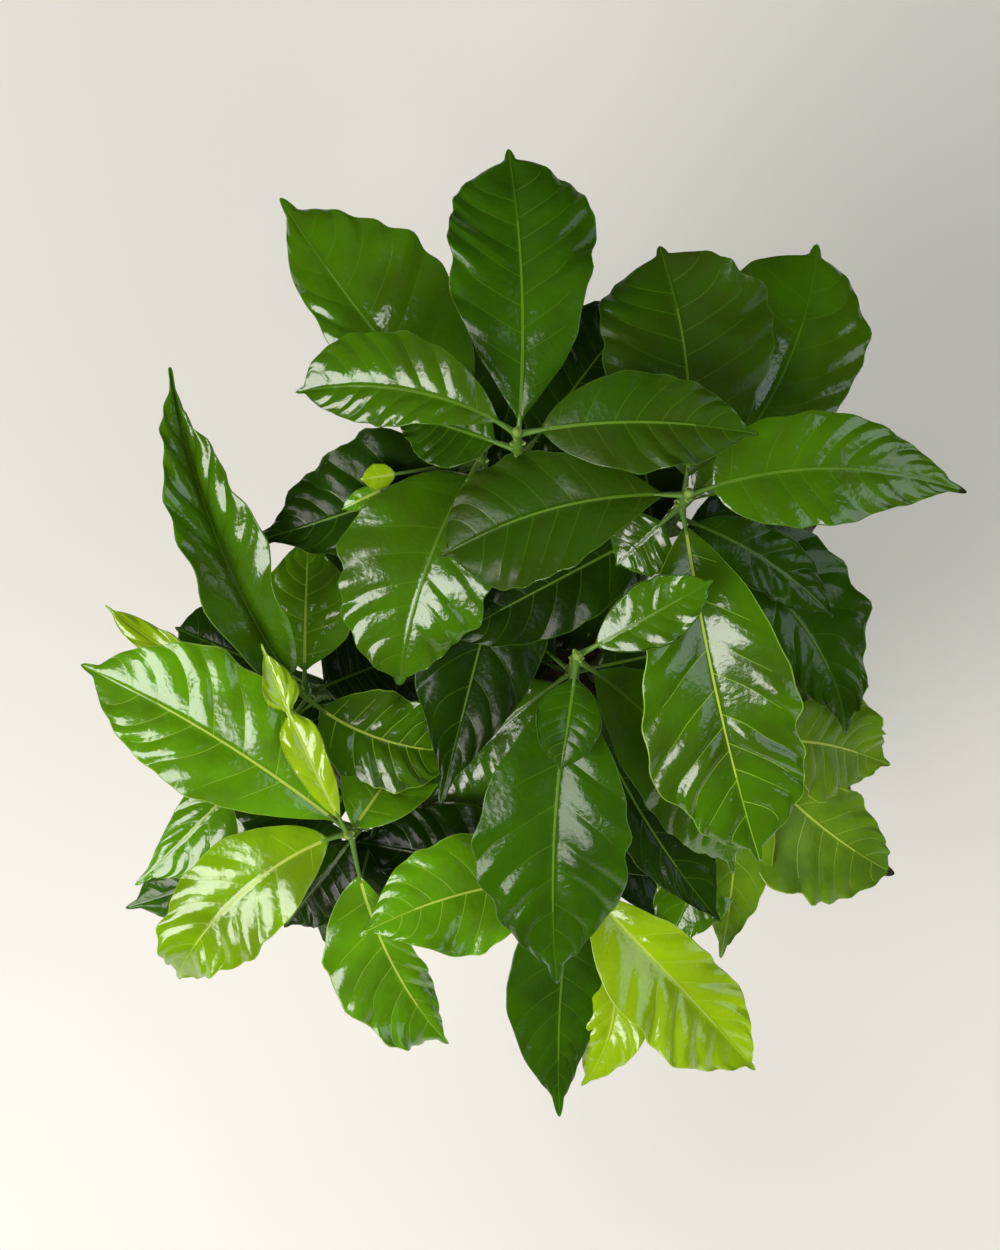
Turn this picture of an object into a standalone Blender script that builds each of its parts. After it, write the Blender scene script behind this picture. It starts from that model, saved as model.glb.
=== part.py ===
"""Potted coffee plant: eight slim seedlings in one plain round pot.

Each seedling is a bare woody stem that stands on the soil and, 0.3 mm above its
cut, one mass of foliage: the green upper stem with its leaves fused on.
Sizes below are millimetres and degrees; the meshes are made in metres.
+X is the plant's right and +Y its back as it is seen from above, and the origin
is the middle of the pot's flat underside.
"""

import math
import random

import bmesh
import bpy
import numpy as np
from mathutils.bvhtree import BVHTree

MM = 0.001
MERGE = 0.00001
SHARP_ANGLE = 40.0

# Pot and soil
POT_HEIGHT = 130.0
POT_RIM_RADIUS = 75.0
POT_FOOT_RADIUS = 56.0
POT_WALL = 5.0
POT_FLOOR = 7.0
FOOT_CHAMFER = 2.0
LIP_STEPS = 6
TURN_STEPS = 48
SOIL_TOP = 118.0
SOIL_CHAMFER = 3.0
CLEARANCE = 0.3

# Stems
STEM_SIDES = 8
STEM_CURVE = 0.6
FLARE_RADIUS = 2.6
FLARE_HEIGHT = 9.0
FLARE_RING_HEIGHT = 3.6
WOOD_RADIUS = 3.3
CUT_RADIUS = 2.7
TIP_RADIUS = 1.5
BUD_HEIGHT = 6.0
BUD_RADIUS = 0.5
STEM_STEP = 18.0

# Leaves
PETIOLE = 9.0
PETIOLE_HALF_WIDTH = 1.2
PETIOLE_THICKNESS = 2.2
TIP_HALF_WIDTH = 0.5
LEAF_THICKNESS = 1.2
LEAF_SLENDERNESS = 95.0
FOLD = 8.0
FULLNESS = 1.55
BELLY = 0.48
DRIP_TIP = 0.05
TAIL_FROM = 0.6
TAIL_LENGTH = 0.2
TAIL_WIDTH = 0.16
PINCH_LENGTH = 0.06
PINCH_DEPTH = 0.86
PAST_PINCH_WIDTH = 1.25
LEAF_RING = 6
REACH = 0.36
UPPER_SHARES = (0.0, 0.12, 0.28, 0.45, 0.62, 0.78, 0.9, 1.0)
LOWER_SHARES = (0.0, 0.2, 0.45, 0.7, 0.9, 1.0)
CURVE_POINTS = 121

# Lower leaves, in opposite pairs down each stem under the leaves that show from above
SEED = 5
PAIR_STEP = 23.0
PAIR_TURN = 90.0
PAIR_ABOVE_CUT = 12.0
PAIR_JITTER = 20.0
LOWER_LENGTHS = (95.0, 82.0, 68.0)
LOWER_SWINGS = (0.0, 25.0, -25.0, 50.0, -50.0)
LOWER_DROPS = (25.0, 45.0, 10.0, 60.0)
LOWER_LAUNCH = 10.0
LOWER_DIP = -30.0
LOWER_WIDTH = 0.43
LOWER_CLEARANCE = 3.0
LOWEST_TIP = 140.0
SHADE_SHARES = (0.15, 0.35, 0.55, 0.75, 0.9, 1.0)
SHADE_NEEDED = 0.9
OVERHEAD = (-25.0, 52.0, 1230.0)


def leaf(height, tip, width, launch, dip, bow=0, roll=0, belly=BELLY, skew=0.0, waist=None,
         petiole=PETIOLE, full=FULLNESS, fold=FOLD, twist=0):
    """One leaf: where it leaves its stem, where its tip lies and how the blade is shaped.

    height is the node's height, launch and dip are the pitches at base and tip, bow
    bends it sideways, roll turns it about its midrib and twist adds to that from base
    to tip. belly is where along the blade it is widest, full how much it narrows to
    both ends, skew widens its left half, waist is where it is pinched and fold is the
    pitch of its halves.
    """
    return dict(height=height, tip=tip, width=width, launch=launch, dip=dip, bow=bow, roll=roll,
                belly=belly, skew=skew, waist=waist, petiole=petiole, full=full, fold=fold,
                twist=twist)


# Each seedling: where it stands on the soil, its tip, the height where the bare
# stem ends, the height of the first pair of lower leaves, and the leaves that show
# from above.
SEEDLINGS = {
    "back": dict(
        root=(-8, 34), tip=(-19, 120, 375), cut=212, pairs_from=306,
        leaves=(
            leaf(371, (-98, 135, 362), 33, 30, -25, bow=-22, belly=0.58, skew=-0.2),
            leaf(371, (66, 119, 376), 35, 18, -8, bow=10),
            leaf(356, (-22, 224, 352), 53, 28, -25, bow=-7, belly=0.64),
            leaf(347, (-64, 131, 342), 30, 5, -12),
            leaf(330, (29, 176, 300), 45, 10, -30),
            leaf(300, (-48, -17, 299), 47, 6, -8, belly=0.45, full=2.2),
        ),
    ),
    "back_right": dict(
        root=(20, 30), tip=(42, 99, 367), cut=226, pairs_from=290,
        leaves=(
            leaf(362, (144, 100, 350), 41, 10, -22, bow=19, belly=0.37),
            leaf(362, (-47, 77, 342), 48, 0, -16, bow=-16, roll=12, belly=0.62, skew=0.05),
            leaf(352, (33, 190, 345), 62, 22, -20, bow=-12, belly=0.62, skew=-0.02, full=1.4),
            leaf(325, (94, 195, 318), 63, 22, -22, bow=-22, belly=0.62, skew=0.2),
            leaf(345, (74, -38, 305), 59, 12, -32, bow=-6, belly=0.55, fold=16),
            leaf(340, (18, 74, 326), 28, 5, -20),
            leaf(315, (-47, 46, 312), 38, 10, -15),
            leaf(300, (111, 9, 272), 46, 5, -45, bow=35, belly=0.38, skew=0.15),
            leaf(322, (102, 55, 305), 24, 10, -20, bow=12),
            leaf(310, (70, 66, 290), 34, -5, -25),
        ),
    ),
    "middle": dict(
        root=(6, 6), tip=(3, 41, 351), cut=212, pairs_from=268,
        leaves=(
            leaf(348, (51, 68, 364), 24, 35, 5, belly=0.55),
            leaf(348, (-3, -1, 350), 24, 25, -25),
            leaf(335, (-3, -86, 295), 57, 15, -40, bow=-9, belly=0.5, full=2.1),
            leaf(328, (68, -47, 262), 44, 0, -40, bow=20),
            leaf(272, (-56, -22, 248), 42, 0, -15, bow=-8, skew=0.2),
            leaf(262, (-46, 52, 246), 36, 0, -25),
            leaf(275, (64, -68, 248), 34, 5, -30, bow=-10, skew=0.25),
        ),
    ),
    "front_left": dict(
        root=(-32, -10), tip=(-83, -28, 302), cut=192, pairs_from=270,
        leaves=(
            leaf(297, (-184, 37, 308), 53, 25, -15, bow=-9, belly=0.56, skew=-0.1, full=1.8),
            leaf(297, (-153, -89, 262), 41, 20, -60, bow=-30, full=1.5),
            leaf(299, (-46, 24, 262), 38, -14, -22, skew=0.1, petiole=3.0, fold=10),
            leaf(302, (-114, 45, 324), 15, 30, 10, bow=3, waist=0.62),
            leaf(296, (-46, -120, 232), 36, -35, -40, bow=-16, belly=0.5, skew=-0.4,
                 petiole=22.0, twist=-20),
            leaf(270, (-177, -63, 243), 42, 5, -20),
            leaf(284, (-137, -5, 278), 34, 10, -10),
            leaf(272, (-112, -70, 250), 34, 0, -25),
        ),
    ),
    "left": dict(
        root=(-42, 14), tip=(-104, 27, 297), cut=186, pairs_from=246,
        leaves=(
            leaf(290, (-148, 148, 325), 44, 45, 10, bow=12, roll=5, belly=0.42, fold=57),
            leaf(280, (-99, 93, 284), 38, 30, -20, belly=0.42, full=2.6),
            leaf(262, (-182, 60, 262), 13, -5, 10, bow=20, belly=0.6, twist=60),
            leaf(248, (-158, 51, 236), 32, 5, -25, belly=0.7),
            leaf(268, (-64, 40, 258), 46, 10, -20, belly=0.4, petiole=5.0),
            leaf(290, (-39, 3, 283), 38, 26, -16, bow=-22, petiole=12.0, fold=10),
            leaf(268, (-171, -52, 258), 36, 10, -25, bow=6, skew=0.35, full=2.2),
        ),
    ),
    "back_left": dict(
        root=(-24, 42), tip=(-32, 116, 335), cut=200, pairs_from=286,
        leaves=(
            leaf(328, (-107, 211, 325), 50, 22, -22, bow=6, belly=0.5, skew=-0.35, full=1.8),
            leaf(322, (-63, 29, 305), 57, 34, -50, bow=-16, belly=0.47, skew=-0.12, full=1.5,
                 fold=5),
            leaf(316, (-121, 83, 307), 46, 10, -20, bow=4, belly=0.38, skew=-0.15, full=2.1),
            leaf(318, (-84, 95, 324), 8, 20, -25, bow=-8, petiole=40.0),
            leaf(318, (-77, 106, 328), 10, 20, 0, petiole=34.0),
        ),
    ),
    "right": dict(
        root=(42, 2), tip=(72, 8, 290), cut=184, pairs_from=246,
        leaves=(
            leaf(285, (134, -5, 240), 42, 10, -25, bow=10),
            leaf(262, (128, 27, 222), 38, 10, -25),
            leaf(262, (67, -87, 216), 31, 5, -45, bow=3, belly=0.4, full=2.0),
            leaf(252, (140, -52, 214), 50, 5, -40, bow=-12, skew=-0.25),
            leaf(252, (42, -84, 225), 36, 0, -30, bow=8),
            leaf(288, (105, 11, 262), 16, 0, -30),
        ),
    ),
    "front": dict(
        root=(4, -32), tip=(5, -49, 272), cut=180, pairs_from=238,
        leaves=(
            leaf(268, (80, -131, 230), 43, 8, -35, bow=3, belly=0.5, skew=-0.2, fold=18),
            leaf(268, (-80, -69, 283), 47, 20, -8, bow=-16, full=2.0),
            leaf(250, (0, -154, 212), 41, 0, -35, bow=-6, roll=-12, belly=0.38, skew=-0.1,
                 full=2.0, fold=2),
            leaf(245, (9, -141, 212), 33, 0, -40, bow=40),
            leaf(262, (-82, -35, 254), 44, 5, -15),
        ),
    ),
}

# Colours of the pieces: base colour, roughness
POT_LOOK = ((0.86, 0.80, 0.77), 0.35)
SOIL_LOOK = ((0.06, 0.04, 0.03), 0.95)
WOOD_LOOK = ((0.32, 0.24, 0.14), 0.80)
LEAF_LOOK = ((0.06, 0.17, 0.02), 0.25)


# Curves and leaf shapes, in millimetres

def bezier(points, share):
    """Points of a cubic curve at shares from 0 to 1."""
    p0, p1, p2, p3 = (np.asarray(p, float) for p in points)
    t = np.asarray(share, float)[:, None]
    u = 1.0 - t
    return u**3 * p0 + 3 * u**2 * t * p1 + 3 * u * t**2 * p2 + t**3 * p3


def direction(heading, pitch):
    """Unit vector of a heading and a pitch in degrees."""
    h = math.radians(heading)
    p = math.radians(pitch)
    return np.array([math.cos(p) * math.cos(h), math.cos(p) * math.sin(h), math.sin(p)])


def stem_point(seedling, height):
    """Point of a stem's axis: it leans out from its root and then grows upright."""
    x0, y0 = seedling["root"]
    x1, y1, top = seedling["tip"]
    rise = (height - SOIL_TOP) / (top - SOIL_TOP)
    lean = (1 + STEM_CURVE) * rise - STEM_CURVE * rise * rise
    return np.array([x0 + (x1 - x0) * lean, y0 + (y1 - y0) * lean, height])


def leaf_curve(seedling, row):
    """Control points of a leaf's midrib, from the stem's axis to the tip."""
    node = stem_point(seedling, row["height"])
    tip = np.array(row["tip"], float)
    chord = tip - node
    heading = math.degrees(math.atan2(chord[1], chord[0]))
    reach = REACH * np.linalg.norm(chord)
    return (node, node + reach * direction(heading + row["bow"], row["launch"]),
            tip - reach * direction(heading - row["bow"], row["dip"]), tip)


def blade_profile(share, row):
    """Half width of the blade as a part of its widest, from base (0) to tip (1)."""
    body = np.clip(share / (1 - DRIP_TIP), 0, 1)
    belly = row["belly"]
    rise = row["full"] * belly
    fall = row["full"] * (1 - belly)
    shape = body**rise * (1 - body)**fall / (belly**rise * (1 - belly)**fall)
    tail = TAIL_WIDTH * np.sqrt(np.clip((1 - share) / TAIL_LENGTH, 0, 1))
    shape = np.maximum(shape, tail * (share > TAIL_FROM))
    if row["waist"]:
        pinch = PINCH_DEPTH * np.exp(-((share - row["waist"]) / PINCH_LENGTH)**2)
        shape = shape * (1 - pinch) * np.where(share > row["waist"], PAST_PINCH_WIDTH, 1.0)
    return shape


def leaf_stations(seedling, row, shares):
    """Midrib points, side and normal vectors, half widths and length of a leaf."""
    fine = bezier(leaf_curve(seedling, row), np.linspace(0, 1, CURVE_POINTS))
    run = np.concatenate([[0], np.cumsum(np.linalg.norm(np.diff(fine, axis=0), axis=1))])
    length = run[-1]
    shares = np.asarray(shares, float)
    wanted = row["petiole"] + (length - row["petiole"]) * shares
    mid = np.stack([np.interp(wanted, run, fine[:, k]) for k in range(3)], axis=1)
    slope = np.gradient(fine, run, axis=0)
    along = np.stack([np.interp(wanted, run, slope[:, k]) for k in range(3)], axis=1)
    along /= np.linalg.norm(along, axis=1)[:, None]
    level = np.cross([0.0, 0.0, 1.0], along)
    level /= np.linalg.norm(level, axis=1)[:, None]
    up = np.cross(along, level)
    roll = np.radians(row["roll"] + row["twist"] * (shares - 0.5))[:, None]
    side = np.cos(roll) * level + np.sin(roll) * up
    normal = np.cos(roll) * up - np.sin(roll) * level
    half = 0.5 * row["width"] * blade_profile(shares, row)
    return mid, side, normal, half, length


def leaf_solid(seedling, row, shares=UPPER_SHARES, pad=0.0):
    """Vertices and faces of one leaf: a petiole from the stem's axis, then the blade."""
    mid, side, normal, half, length = leaf_stations(seedling, row, shares)
    node = stem_point(seedling, row["height"])
    thin = max(LEAF_THICKNESS, length / LEAF_SLENDERNESS)
    last = len(shares) - 1
    sections = [(node, side[0], normal[0], PETIOLE_HALF_WIDTH, 0.0, PETIOLE_THICKNESS)]
    for k in range(len(shares)):
        wide = TIP_HALF_WIDTH if k == last else max(half[k], PETIOLE_HALF_WIDTH)
        thick = PETIOLE_THICKNESS if k == 0 else thin
        sections.append((mid[k], side[k], normal[k], wide, math.radians(row["fold"]), thick))
    points = []
    for centre, across, up, wide, fold, thick in sections:
        lift = math.sin(fold) * up
        spread = math.cos(fold) * across
        left = centre + (wide * (1 + row["skew"]) + pad) * (spread + lift)
        right = centre + (wide * (1 - row["skew"]) + pad) * (lift - spread)
        half_up = (0.5 * thick + pad) * up
        points += [left + half_up, centre + half_up, right + half_up,
                   right - half_up, centre - half_up, left - half_up]
    faces = ring_faces(len(sections), LEAF_RING)
    end = LEAF_RING * (len(sections) - 1)
    faces += [(0, 5, 4, 1), (1, 4, 3, 2), (end, end + 1, end + 4, end + 5),
              (end + 1, end + 2, end + 3, end + 4)]
    return np.array(points), faces


def lower_leaf(seedling, height, heading, length, drop):
    """A plain arching leaf on a lower node."""
    across = math.sqrt(length**2 - drop**2)
    tip = stem_point(seedling, height) + across * direction(heading, 0) - np.array([0, 0, drop])
    return leaf(height, tuple(tip), LOWER_WIDTH * length, LOWER_LAUNCH, LOWER_DIP)


def tree_of(points, faces):
    """Search tree of a closed shape."""
    return BVHTree.FromPolygons(points.tolist(), faces)


def is_shaded(seedling, row, canopy):
    """True where enough of a leaf lies under the canopy, seen from overhead."""
    mid, side, _, half, _ = leaf_stations(seedling, row, SHADE_SHARES)
    spread = half[:, None] * side
    points = np.concatenate([mid, mid + spread, mid - spread])
    hits = 0
    for point in points:
        towards = np.array(OVERHEAD) - point
        towards /= np.linalg.norm(towards)
        if canopy.ray_cast(tuple(point + LOWER_CLEARANCE * towards), tuple(towards))[0]:
            hits += 1
    return hits >= SHADE_NEEDED * len(points)


def is_clear(seedling, row, others, own):
    """True where a padded leaf touches no other seedling and no leaf of its own stem."""
    points, faces = leaf_solid(seedling, row, LOWER_SHARES, LOWER_CLEARANCE)
    whole = tree_of(points, faces)
    blade = tree_of(points, [face for face in faces if min(face) >= LEAF_RING])
    return not (any(whole.overlap(tree) for tree in others)
                or any(blade.overlap(tree) for tree in own))


def lower_leaves():
    """Lower leaves of every seedling by name, kept only where they are shaded and clear."""
    rng = random.Random(SEED)
    stems = {}
    leaves = {}
    canopy_points = []
    canopy_faces = []
    for name, seedling in SEEDLINGS.items():
        heights, radii = bare_stem_rings(seedling)
        green, slim = green_stem_rings(seedling)
        stems[name] = [tree_of(*stem_solid(seedling, heights, radii)),
                       tree_of(*stem_solid(seedling, green, slim))]
        leaves[name] = []
        for row in seedling["leaves"]:
            points, faces = leaf_solid(seedling, row)
            leaves[name].append(tree_of(points, faces))
            start = len(canopy_points)
            canopy_points += points.tolist()
            canopy_faces += [tuple(start + v for v in face) for face in faces]
    canopy = BVHTree.FromPolygons(canopy_points, canopy_faces)
    kept = {name: [] for name in SEEDLINGS}
    for level in range(max_pairs()):
        for name, seedling in SEEDLINGS.items():
            height = seedling["pairs_from"] - PAIR_STEP * level
            start = PAIR_TURN * level + rng.uniform(-PAIR_JITTER, PAIR_JITTER)
            if height < seedling["cut"] + PAIR_ABOVE_CUT:
                continue
            others = [tree for key in SEEDLINGS if key != name for tree in stems[key] + leaves[key]]
            for side in (0, 180):
                row = first_fit(seedling, height, start + side, others, leaves[name], canopy)
                if row:
                    kept[name].append(row)
                    leaves[name].append(tree_of(*leaf_solid(seedling, row, LOWER_SHARES)))
    return kept


def max_pairs():
    """Most pairs of lower leaves that any stem has room for."""
    spans = [s["pairs_from"] - s["cut"] - PAIR_ABOVE_CUT for s in SEEDLINGS.values()]
    return 1 + int(max(spans) // PAIR_STEP)


def first_fit(seedling, height, heading, others, own, canopy):
    """Longest lower leaf near a heading that is shaded and clear, or nothing."""
    for length in LOWER_LENGTHS:
        for swing in LOWER_SWINGS:
            for drop in LOWER_DROPS:
                if height - drop < LOWEST_TIP:
                    continue
                row = lower_leaf(seedling, height, heading + swing, length, drop)
                if is_shaded(seedling, row, canopy) and is_clear(seedling, row, others, own):
                    return row
    return None


def ring_faces(rings, sides):
    """Faces between rings of points that follow each other."""
    faces = []
    for i in range(rings - 1):
        low = sides * i
        high = low + sides
        for j in range(sides):
            k = (j + 1) % sides
            faces.append((low + j, low + k, high + k, high + j))
    return faces


def stem_radius(seedling, height):
    """Radius of a stem: flared at the soil, woody below its cut, slim at the tip."""
    cut = seedling["cut"]
    if height <= cut:
        share = (height - SOIL_TOP) / (cut - SOIL_TOP)
        flare = FLARE_RADIUS * math.exp(-(height - SOIL_TOP) / FLARE_HEIGHT)
        return WOOD_RADIUS + (CUT_RADIUS - WOOD_RADIUS) * share + flare
    share = (height - cut) / (seedling["tip"][2] - cut)
    return CUT_RADIUS + (TIP_RADIUS - CUT_RADIUS) * share


def stem_heights(low, high):
    """Levels of a stem's rings between two heights."""
    steps = max(2, round((high - low) / STEM_STEP))
    return np.linspace(low, high, steps + 1)


def bare_stem_rings(seedling):
    """Heights and radii of the bare woody stem, from its flat foot to its cut."""
    foot = SOIL_TOP + CLEARANCE
    cut = seedling["cut"]
    heights = [foot, foot + FLARE_RING_HEIGHT, foot + FLARE_HEIGHT]
    heights += list(stem_heights(foot + 2 * FLARE_HEIGHT, cut))
    return heights, [stem_radius(seedling, height) for height in heights]


def green_stem_rings(seedling):
    """Heights and radii of the green stem above the cut, with its end bud."""
    top = seedling["tip"][2]
    heights = list(stem_heights(seedling["cut"] + CLEARANCE, top))
    radii = [stem_radius(seedling, height) for height in heights]
    return heights + [top + BUD_HEIGHT], radii + [BUD_RADIUS]


def stem_solid(seedling, heights, radii):
    """Vertices and faces of a stem with level rings at the heights given."""
    points = []
    for height, radius in zip(heights, radii):
        centre = stem_point(seedling, height)
        for k in range(STEM_SIDES):
            points.append(centre + radius * direction(360.0 * k / STEM_SIDES, 0))
    faces = ring_faces(len(heights), STEM_SIDES)
    faces.append(tuple(reversed(range(STEM_SIDES))))
    faces.append(tuple(range(STEM_SIDES * (len(heights) - 1), STEM_SIDES * len(heights))))
    return np.array(points), faces


# Blender objects

def material(name, look):
    """Principled material of one base colour and roughness."""
    colour, roughness = look
    made = bpy.data.materials.new(name)
    made.use_nodes = True
    shader = made.node_tree.nodes["Principled BSDF"]
    shader.inputs["Base Color"].default_value = (*colour, 1.0)
    shader.inputs["Roughness"].default_value = roughness
    return made


def add_object(name, mesh, place, skin, parent):
    """Smooth-shaded object of a mesh, at a place in millimetres."""
    mesh.shade_smooth()
    mesh.set_sharp_from_angle(angle=math.radians(SHARP_ANGLE))
    if skin:
        mesh.materials.append(skin)
    made = bpy.data.objects.new(name, mesh)
    made.location = [c * MM for c in place]
    made.parent = parent
    bpy.context.scene.collection.objects.link(made)
    return made


def solid(name, points, faces, place, skin=None, parent=None):
    """Object from points in millimetres, with its origin at a place."""
    mesh = bpy.data.meshes.new(name)
    local = (points - np.array(place, float)) * MM
    mesh.from_pydata(local.tolist(), [], faces)
    return add_object(name, mesh, place, skin, parent)


def turned(name, profile, skin, parent):
    """Solid turned about the pot's axis from a profile that starts and ends on it."""
    shape = bmesh.new()
    line = [shape.verts.new((radius * MM, 0, height * MM)) for radius, height in profile]
    edges = [shape.edges.new(pair) for pair in zip(line, line[1:])]
    bmesh.ops.spin(shape, geom=line + edges, cent=(0, 0, 0), axis=(0, 0, 1),
                   angle=2 * math.pi, steps=TURN_STEPS, use_merge=True)
    bmesh.ops.remove_doubles(shape, verts=shape.verts, dist=MERGE)
    bmesh.ops.recalc_face_normals(shape, faces=shape.faces)
    mesh = bpy.data.meshes.new(name)
    shape.to_mesh(mesh)
    shape.free()
    return add_object(name, mesh, (0, 0, 0), skin, parent)


def pot_inner_radius(height):
    """Radius of the pot's inner wall at a height."""
    slope = (POT_RIM_RADIUS - POT_FOOT_RADIUS) / POT_HEIGHT
    return POT_FOOT_RADIUS - POT_WALL + slope * height


def make_pot(parent):
    """Plain tapered pot with a round lip and a flat foot."""
    lip = POT_WALL / 2
    profile = [(0, 0), (POT_FOOT_RADIUS - FOOT_CHAMFER, 0), (POT_FOOT_RADIUS, FOOT_CHAMFER)]
    for k in range(LIP_STEPS + 1):
        angle = math.pi * k / LIP_STEPS
        profile.append((POT_RIM_RADIUS - lip + lip * math.cos(angle),
                        POT_HEIGHT - lip + lip * math.sin(angle)))
    profile.append((pot_inner_radius(POT_FLOOR + FOOT_CHAMFER), POT_FLOOR + FOOT_CHAMFER))
    profile.append((pot_inner_radius(POT_FLOOR) - FOOT_CHAMFER, POT_FLOOR))
    profile.append((0, POT_FLOOR))
    return turned("pot", profile, material("pot_clay", POT_LOOK), parent)


def make_soil(parent):
    """Potting soil that fills the pot to just under its lip."""
    bottom = POT_FLOOR + CLEARANCE
    side = bottom + SOIL_CHAMFER
    shoulder = SOIL_TOP - SOIL_CHAMFER
    profile = [(0, bottom), (pot_inner_radius(bottom) - SOIL_CHAMFER, bottom),
               (pot_inner_radius(side) - CLEARANCE, side),
               (pot_inner_radius(shoulder) - CLEARANCE, shoulder),
               (pot_inner_radius(SOIL_TOP) - SOIL_CHAMFER, SOIL_TOP), (0, SOIL_TOP)]
    return turned("soil", profile, material("potting_soil", SOIL_LOOK), parent)


def make_stem(name, seedling, skin, parent):
    """Bare woody stem, from its flat foot just above the soil to its cut."""
    points, faces = stem_solid(seedling, *bare_stem_rings(seedling))
    place = (*seedling["root"], SOIL_TOP)
    return solid("stem_" + name, points, faces, place, skin, parent)


def make_foliage(name, seedling, lower, skin, parent):
    """Green upper stem with every leaf of the seedling fused on."""
    points, faces = stem_solid(seedling, *green_stem_rings(seedling))
    place = tuple(stem_point(seedling, seedling["cut"]))
    whole = solid("leaves_" + name, points, faces, place, skin, parent)
    loose = bpy.data.collections.new("loose_leaves")
    bpy.context.scene.collection.children.link(loose)
    shapes = [(row, UPPER_SHARES) for row in seedling["leaves"]]
    shapes += [(row, LOWER_SHARES) for row in lower]
    for row, shares in shapes:
        leaf_points, leaf_faces = leaf_solid(seedling, row, shares)
        blade = solid("loose_leaf", leaf_points, leaf_faces, place)
        bpy.context.scene.collection.objects.unlink(blade)
        loose.objects.link(blade)
    join = whole.modifiers.new("join", "BOOLEAN")
    join.operation = "UNION"
    join.operand_type = "COLLECTION"
    join.collection = loose
    join.solver = "EXACT"
    joined = bpy.data.meshes.new_from_object(
        whole.evaluated_get(bpy.context.evaluated_depsgraph_get()))
    whole.modifiers.remove(join)
    whole.data = joined
    for blade in list(loose.objects):
        bpy.data.objects.remove(blade)
    bpy.data.collections.remove(loose)
    return whole


def main():
    for old in list(bpy.data.objects):
        bpy.data.objects.remove(old)
    plant = bpy.data.objects.new("plant", None)
    bpy.context.scene.collection.objects.link(plant)
    make_pot(plant)
    make_soil(plant)
    bark = material("bark", WOOD_LOOK)
    green = material("leaf", LEAF_LOOK)
    lower = lower_leaves()
    for name, seedling in SEEDLINGS.items():
        make_stem(name, seedling, bark, plant)
        make_foliage(name, seedling, lower[name], green, plant)


main()
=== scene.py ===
"""Potted coffee plant: the looks of the pot, soil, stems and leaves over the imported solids.

The file is laid out as an add-on and is run as a script. Each operator makes one piece or
one group of like pieces. Sizes are millimetres and degrees, and meshes are made in metres.
"""

import math
import random

import bmesh
import bpy
import numpy as np
from mathutils.bvhtree import BVHTree
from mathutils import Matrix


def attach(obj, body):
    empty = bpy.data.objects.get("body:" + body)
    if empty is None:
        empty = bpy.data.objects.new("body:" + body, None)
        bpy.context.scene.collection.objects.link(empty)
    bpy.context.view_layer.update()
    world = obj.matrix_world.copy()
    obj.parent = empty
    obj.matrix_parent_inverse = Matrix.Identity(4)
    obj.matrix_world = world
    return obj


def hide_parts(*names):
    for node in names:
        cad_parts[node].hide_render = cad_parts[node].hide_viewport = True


bl_info = {
    "name": "Potted Coffee Plant",
    "version": (1, 0, 0),
    "blender": (4, 5, 0),
    "location": "View3D > Sidebar > Plant",
    "description": "Makes the pot, soil, stems and leaves of a young coffee plant",
    "category": "Add Mesh",
}

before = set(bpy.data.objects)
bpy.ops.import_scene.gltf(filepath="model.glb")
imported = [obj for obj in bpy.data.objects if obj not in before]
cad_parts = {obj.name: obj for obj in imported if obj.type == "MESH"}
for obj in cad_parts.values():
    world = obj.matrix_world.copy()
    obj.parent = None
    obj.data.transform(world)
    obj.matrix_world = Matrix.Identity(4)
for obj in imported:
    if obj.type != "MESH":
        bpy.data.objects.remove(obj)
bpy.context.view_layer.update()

MM = 0.001
ROOT_BODY = "root"
BARK_SEED = 100
BLADE_SEED = 300

# Pot and soil
POT_HEIGHT = 130.0
POT_RIM_RADIUS = 75.0
POT_FOOT_RADIUS = 56.0
POT_WALL = 5.0
POT_FLOOR = 7.0
POT_SLOPE = (POT_RIM_RADIUS - POT_FOOT_RADIUS) / POT_HEIGHT
POT_SPOKES = 128
LIP_ROUNDING = 2.1
FOOT_ROUNDING = 2.0
LIP_BAND = 0.5
FOOT_EDGE_FROM = 50.0
LEVEL_WITHIN = 0.001
ROUND_WITHIN = 0.01
SOIL_TOP = 118.0
CLEARANCE = 0.3

SOIL_SEED = 21
SOIL_RINGS = 38
SOIL_SPOKES = 96
MOUND_HEIGHT = 2.4
MOUND_AREA = 64.0
CRUMB_FREE = 8.0
CRUMB_SIDES = 6
CRUMB_RINGS = ((-1.0, 0.6), (-0.3, 1.0), (0.5, 0.85), (1.0, 0.35))
CHIP_RANGES = ((0.9, 3.4), (0.25, 0.6), (1.0, 2.2))
GRAIN_RANGES = ((0.7, 1.6), (0.7, 1.0), (0.9, 1.2))
CHIP_DARK = (0.030, 0.019, 0.011)
CHIP_LIGHT = (0.110, 0.068, 0.040)

# Stems
STEM_SIDES = 8
STEM_CURVE = 0.6
FLARE_RADIUS = 2.6
FLARE_HEIGHT = 9.0
FLARE_RING_HEIGHT = 3.6
WOOD_RADIUS = 3.3
CUT_RADIUS = 2.7
TIP_RADIUS = 1.5
BUD_HEIGHT = 6.0
BUD_RADIUS = 0.5
STEM_STEP = 18.0

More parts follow.
